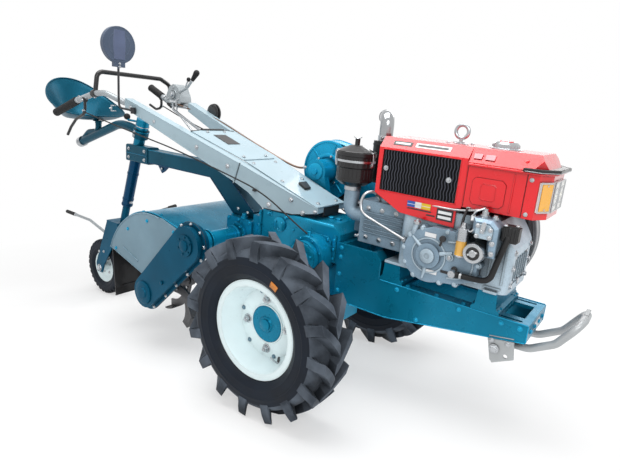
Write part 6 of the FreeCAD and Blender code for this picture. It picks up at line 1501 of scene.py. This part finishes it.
@piece("seat_bowl", teal_shaded, sharp=50, stands_for=("seat_pan",))
def seat_bowl(mesh):
    """Pressed pan seat: a round bowl with a rolled rim that sweeps up to a high back. It takes the shaded
    teal copy: painted shade.
    """
    angles = turns(96)
    shares = [0.06, 0.3, 0.5, 0.56, 0.62, 0.68, 0.74, 0.8, 0.86, 0.91, 0.96, 1.0]
    rows = [[seat_point(share, angle) for angle in angles] for share in shares]
    rows += [[seat_point(share - 0.012 * share, angle, 3) for angle in angles] for share in reversed(shares)]
    skin(mesh, rows)
    bead = []
    for angle in angles:
        ahead = (seat_point(1.0, angle + 0.01) - seat_point(1.0, angle - 0.01)).normalized()
        out = ahead.cross(UP).normalized()
        bead.append([seat_point(1.0, angle,
                                2) + (out * math.cos(turn) + out.cross(ahead) * math.sin(turn)) * 4.2
                     for turn in turns(12)])
    skin(mesh, bead, long_closed=True)


@piece("seat_details", zinc, teal_shaded, black_plastic)
def seat_details(mesh):
    """Bright collar on the swan neck's end, seat bolts, washers, black strips as painted shade in the drain
    slots, and the boss under the pan in the shaded teal copy, also painted shade.
    """
    end = Vector((-1925, 0, 726))
    run = (end - Vector((-1500, 0, 878))).normalized()
    turned(mesh, end - run * 34.5, run, [(0, 28.9), (0, 30.5), (35, 30.5), (36.2, 27), (36.2, 0)], 0, 48)
    for out in (RIGHT, LEFT):
        bolt(mesh, end - run * 17 + out * 30.5, out, 6, 0, 5)
    floor = 878
    for x, y in ((-1765, 35), (-1765, -35), (-1850, 0), (-1700, 0)):
        turned(mesh, (x, y, floor), UP, knob((1.8, 12.5), (2.2, 11.8)))
        bolt(mesh, (x, y, floor + 1.8), UP, 6.8, 0, 4.5, washer=False, turn=y * 0.06)
    for x, y in ((-1900, 50), (-1900, -50), (-1800, 80), (-1800, -80)):
        block(mesh, (x - 12, y - 3, floor - 0.2), (x + 12, y + 3, floor + 0.8), 2, 0.4)
    turned(mesh, (-1722, 0, 874.5), DOWN, [(0, 16.8), (0, 30), (3, 30), (6, 19), (16, 18.5), (16, 16.8)], 1,
           40)


@piece("fork_details", bar_grey, zinc, grip_rubber, black, body="fork")
def fork_details(mesh):
    """Axle nuts, fork bolts, the grey tube of the steering bar with its rubber end, and the foot bar."""
    for side, out in SIDES:
        turned(mesh, TAIL + out * 58, out, tube(12.5, 21.5, 2, -0.5), 1, 40)
        turned(mesh, TAIL + out * 58, out, tube(11.8, 17.8, 8.2, 1), 1, 6)
        turned(mesh, TAIL + out * 66, out, [(-1, 0), (-1, 11.2), (1.5, 10.5), (1.5, 0)], 1, 24)
        for x, z in ((0, 105), (50, 115)):
            bolt(mesh, TAIL + Vector((x, side * 58, z)), out, 5.8, 1, 5)
    crown = on_column(626) + Vector((-30, 0, -24))
    path = routed([crown] + [TAIL + Vector(place) for place in upright(0, [(76, 204), (-32, 207), (-202, 247),
                                                                           (-486.8, 247)])], 60)
    bar(mesh, path, 8.6, 0, 18, smooth=False)
    turned(mesh, TAIL + Vector((-380, 0, 247)), BACK, [(0, 8.3), (0, 10.8), (4, 11.4), (102, 11.4),
                                                       (105.4, 9),
                                                       (105.4, 0)], 2)
    turned(mesh, TAIL + Vector((-377, 0, 247)), AHEAD, tube(8.4, 10.5, 12), 1)
    bar(mesh, [(-1466, 40, 298), (-1462, 100, 328), (-1456, 200, 350), (-1450, 330, 371)], 8.5, 3, 14)
    turned(mesh, (-1451.5, 300, 366.5), (0.046, 1, 0.162),
           [(0, 8.2), (0, 11.8), (50, 11.8), (53, 9.5), (53, 0)], 2, 28)


@piece("tail_ribbed_tyre", sidewall, body="tail_wheel", sharp=30, stands_for=("tail_tyre",))
def tail_tyre(mesh):
    """Small tyre with three tread ribs, side lugs and a ringed sidewall."""
    half = [(26.8, 92.2), (30.5, 100), (36.5, 108), (40.5, 116), (41.2, 119), (41.2, 123), (40.2, 125),
            (41.5, 134),
            (41.2, 143), (38.5, 152.5), (33.5, 159), (27.5, 162.2), (26.2, 169.2), (17.8, 169.8),
            (16.5, 164.5),
            (12.2, 164.5), (11, 169.9)]
    turned(mesh, TAIL, LEFT, [(-offset, radius) for offset, radius in half] + half[::-1], 0, 96)
    lugs = 30
    for side, phase in ((-1, 0.0), (1, math.pi / lugs)):
        for angle in turns(lugs, phase):
            rings = []
            for offset, high, low, turn in ((21.5, 169.9, 160, 0.0), (33.5, 166.5, 156, 0.035),
                                            (40.2, 155, 150, 0.055), (41.8, 146.5, 143, 0.06)):
                rings.append([TAIL + ray(angle + turn + aside, radius) + LEFT * side * (offset - sunk)
                              for radius, aside, sunk in ((low, 0.052, 6), (high, 0.044, 0),
                                                          (high, -0.044, 0),
                                                          (low, -0.052, 6))])
            skin(mesh, rings)


@piece("tail_rim_fittings", white, zinc, black_plastic, body="tail_wheel")
def tail_rim_fittings(mesh):
    """Bolts, edge beads and valve of the tail wheel's rim."""
    for out in (RIGHT, LEFT):
        bolt_ring(mesh, TAIL + out * 11.76, out, 45, 5, 0.4, 6.2, 1, 6, washer=True)
        turned(mesh, TAIL + out * 26.5, out, [(-1, 89.5), (2.5, 91), (3, 94.5), (1, 97.2), (-1, 96.5)], 0, 96)
    bar(mesh, [TAIL + Vector((50, -20, 62)), TAIL + Vector((45, -34, 56))], 3.5, 2, 10)


PIVOT = Vector((696, 0, 401))


@piece("stand_bracket_details", stand_grey, zinc)
def stand_bracket_details(mesh):
    """Heads and nuts of the stand's pivots, and the bracket's bolts and welds."""
    for side, out in SIDES:
        bolt(mesh, PIVOT + out * 126.8, out, 10.5, 1, 7, turn=0.3)
        for x, z in ((36, 26), (-12, 22)):
            bolt(mesh, PIVOT + Vector((x, side * 123, z)), out, 6, 1, 5, turn=x * 0.03)
        bar(mesh, [PIVOT + Vector(place) for place in upright(side * 117.5, [(-22, 33.5), (50, 45.5)])], 1.8,
            0, 8)


@piece("stand_details", stand_grey, body="stand")
def stand_details(mesh):
    """Welds round the stand's eyes, and the wear plate on its foot."""
    for side in (-1, 1):
        for way in (-1, 1):
            turned(mesh, PIVOT + LEFT * (side * 66 + way * 10.2), LEFT,
                   [(-0.2 * way, 13.5), (0.8 * way, 14.2), (0.8 * way, 17), (-0.2 * way, 17.8)])
    leg = [(12, 5), (86, 10), (154, 51), (210, 134)]
    bend = routed([PIVOT + Vector(place) for place in upright(-66, leg) + upright(66, leg[::-1])], 50)
    foot = bend[len(bend) // 2]
    block(mesh, foot + Vector((-6, -30, 11.2)), foot + Vector((6, 30, 13.2)), 0, 0.8)


@piece("rotor_bolts", steel, dark_steel, body="rotor")
def rotor_bolts(mesh):
    """Two bolts through each blade's holder, and rings on the tiller's shaft."""
    end, margin, stations, step = 267, 56, 8, math.radians(52)
    for i in range(stations):
        level = margin - end + i * 2 * (end - margin) / (stations - 1)
        turned(mesh, ROTOR + LEFT * (level - 16), LEFT,
               [(0, 23.8), (0, 31), (5, 33), (27, 33), (32, 31), (32, 23.8)], 1)
        for angle in turns(2, i * step):
            for reach in (46, 64):
                for way, out in SIDES:
                    bolt(mesh, ROTOR + ray(-angle, reach) + LEFT * (level + way * 4.5), out, 6.2, 0, 5.5,
                         washer=False, turn=angle)


@piece("flap_ribs", black, body="flap")
def flap_ribs(mesh):
    """Pressed ribs and hinge knuckles on the rear flap."""
    turn = Matrix.Translation(on_hood(160, 355.3, 0)) @ Matrix.Rotation(-PITCH, 4, "Y")
    for face in (-2, 2):
        for y0, y1, z0, z1 in ((-235, 235, -40, -40), (-235, 235, -220, -220), (-235, 0, -50, -210),
                               (235, 0, -50, -210)):
            bar(mesh, [turn @ Vector((face, y0, z0)), turn @ Vector((face, y1, z1))], 3.5, 0, 8)
    for y in (-200, -70, 70, 200):
        turned(mesh, turn @ Vector((0, y - 16, 0)), LEFT, tube(4.8, 7.5, 32), 0, 24)


# ---------------------------------------------------------------- stage and light

def floor_paper():
    """Pale paper that turns into plain white with distance, so that it has no horizon."""
    surface = Surface("floor_paper")
    distance = surface.add("VectorMath", "Value", {0: surface.add("TexCoord", "Object")}, operation="LENGTH")
    grain = surface.ramp(surface.noise(3.0), (0.93, 0.93, 0.93), (0.95, 0.95, 0.95))
    material = surface.done(grain, surface.spread(grain, 0.8, 0.9), Specular_IOR_Level=0.0)
    faded = surface.add("MixShader", "Shader", {0: surface.spread(distance, 0.5, 1.0, 1.2, 3.0),
                                                1: surface.shader.outputs["BSDF"],
                                                2: surface.add("Emission", "Emission")})
    surface.links.new(faded, surface.items["Material Output"].inputs["Surface"])
    return material


def build_stage():
    """A pale floor that runs out of view, under a white sky."""
    mesh = bpy.data.meshes.new("floor")
    reach = 14.0
    mesh.from_pydata([(-reach, -reach, 0), (reach, -reach, 0), (reach, reach, 0), (-reach, reach, 0)], [],
                     [(0, 1, 2, 3)])
    mesh.materials.append(floor_paper())
    link("floor", mesh)
    world = bpy.data.worlds.new("studio")
    bpy.context.scene.world = world
    world.use_nodes = True
    items, links = world.node_tree.nodes, world.node_tree.links
    backdrop = items["Background"]
    backdrop.inputs["Color"].default_value = (1.0, 1.0, 1.0, 1.0)
    path = items.new("ShaderNodeLightPath")
    seen = path.outputs["Is Camera Ray"]
    for ray_kind in ("Is Glossy Ray", "Is Transmission Ray"):
        either = items.new("ShaderNodeMath")
        either.operation = "MAXIMUM"
        links.new(seen, either.inputs[0])
        links.new(path.outputs[ray_kind], either.inputs[1])
        seen = either.outputs["Value"]
    level = items.new("ShaderNodeMapRange")
    level.inputs["To Min"].default_value = 0.42
    links.new(seen, level.inputs["Value"])
    links.new(level.outputs["Result"], backdrop.inputs["Strength"])


def area_lamp(name, place, target, size, power):
    """A soft rectangular lamp that faces a point."""
    lamp = bpy.data.lights.new(name, "AREA")
    lamp.shape = "RECTANGLE"
    lamp.size, lamp.size_y = size
    lamp.energy = power
    item = link(name, lamp)
    item.location = place
    item.rotation_euler = (Vector(target) - Vector(place)).to_track_quat("-Z", "Y").to_euler()


build_stage()
area_lamp("top", (0.4, -0.3, 4.2), (0.2, 0.0, 0.4), (3.6, 2.6), 150.0)
area_lamp("key", (3.0, -2.6, 2.6), (0.2, 0.0, 0.5), (2.0, 1.4), 62.0)
area_lamp("back", (0.2, 3.2, 2.4), (0.2, 0.0, 0.6), (2.4, 1.2), 40.0)
bpy.context.scene.view_settings.view_transform = "Standard"
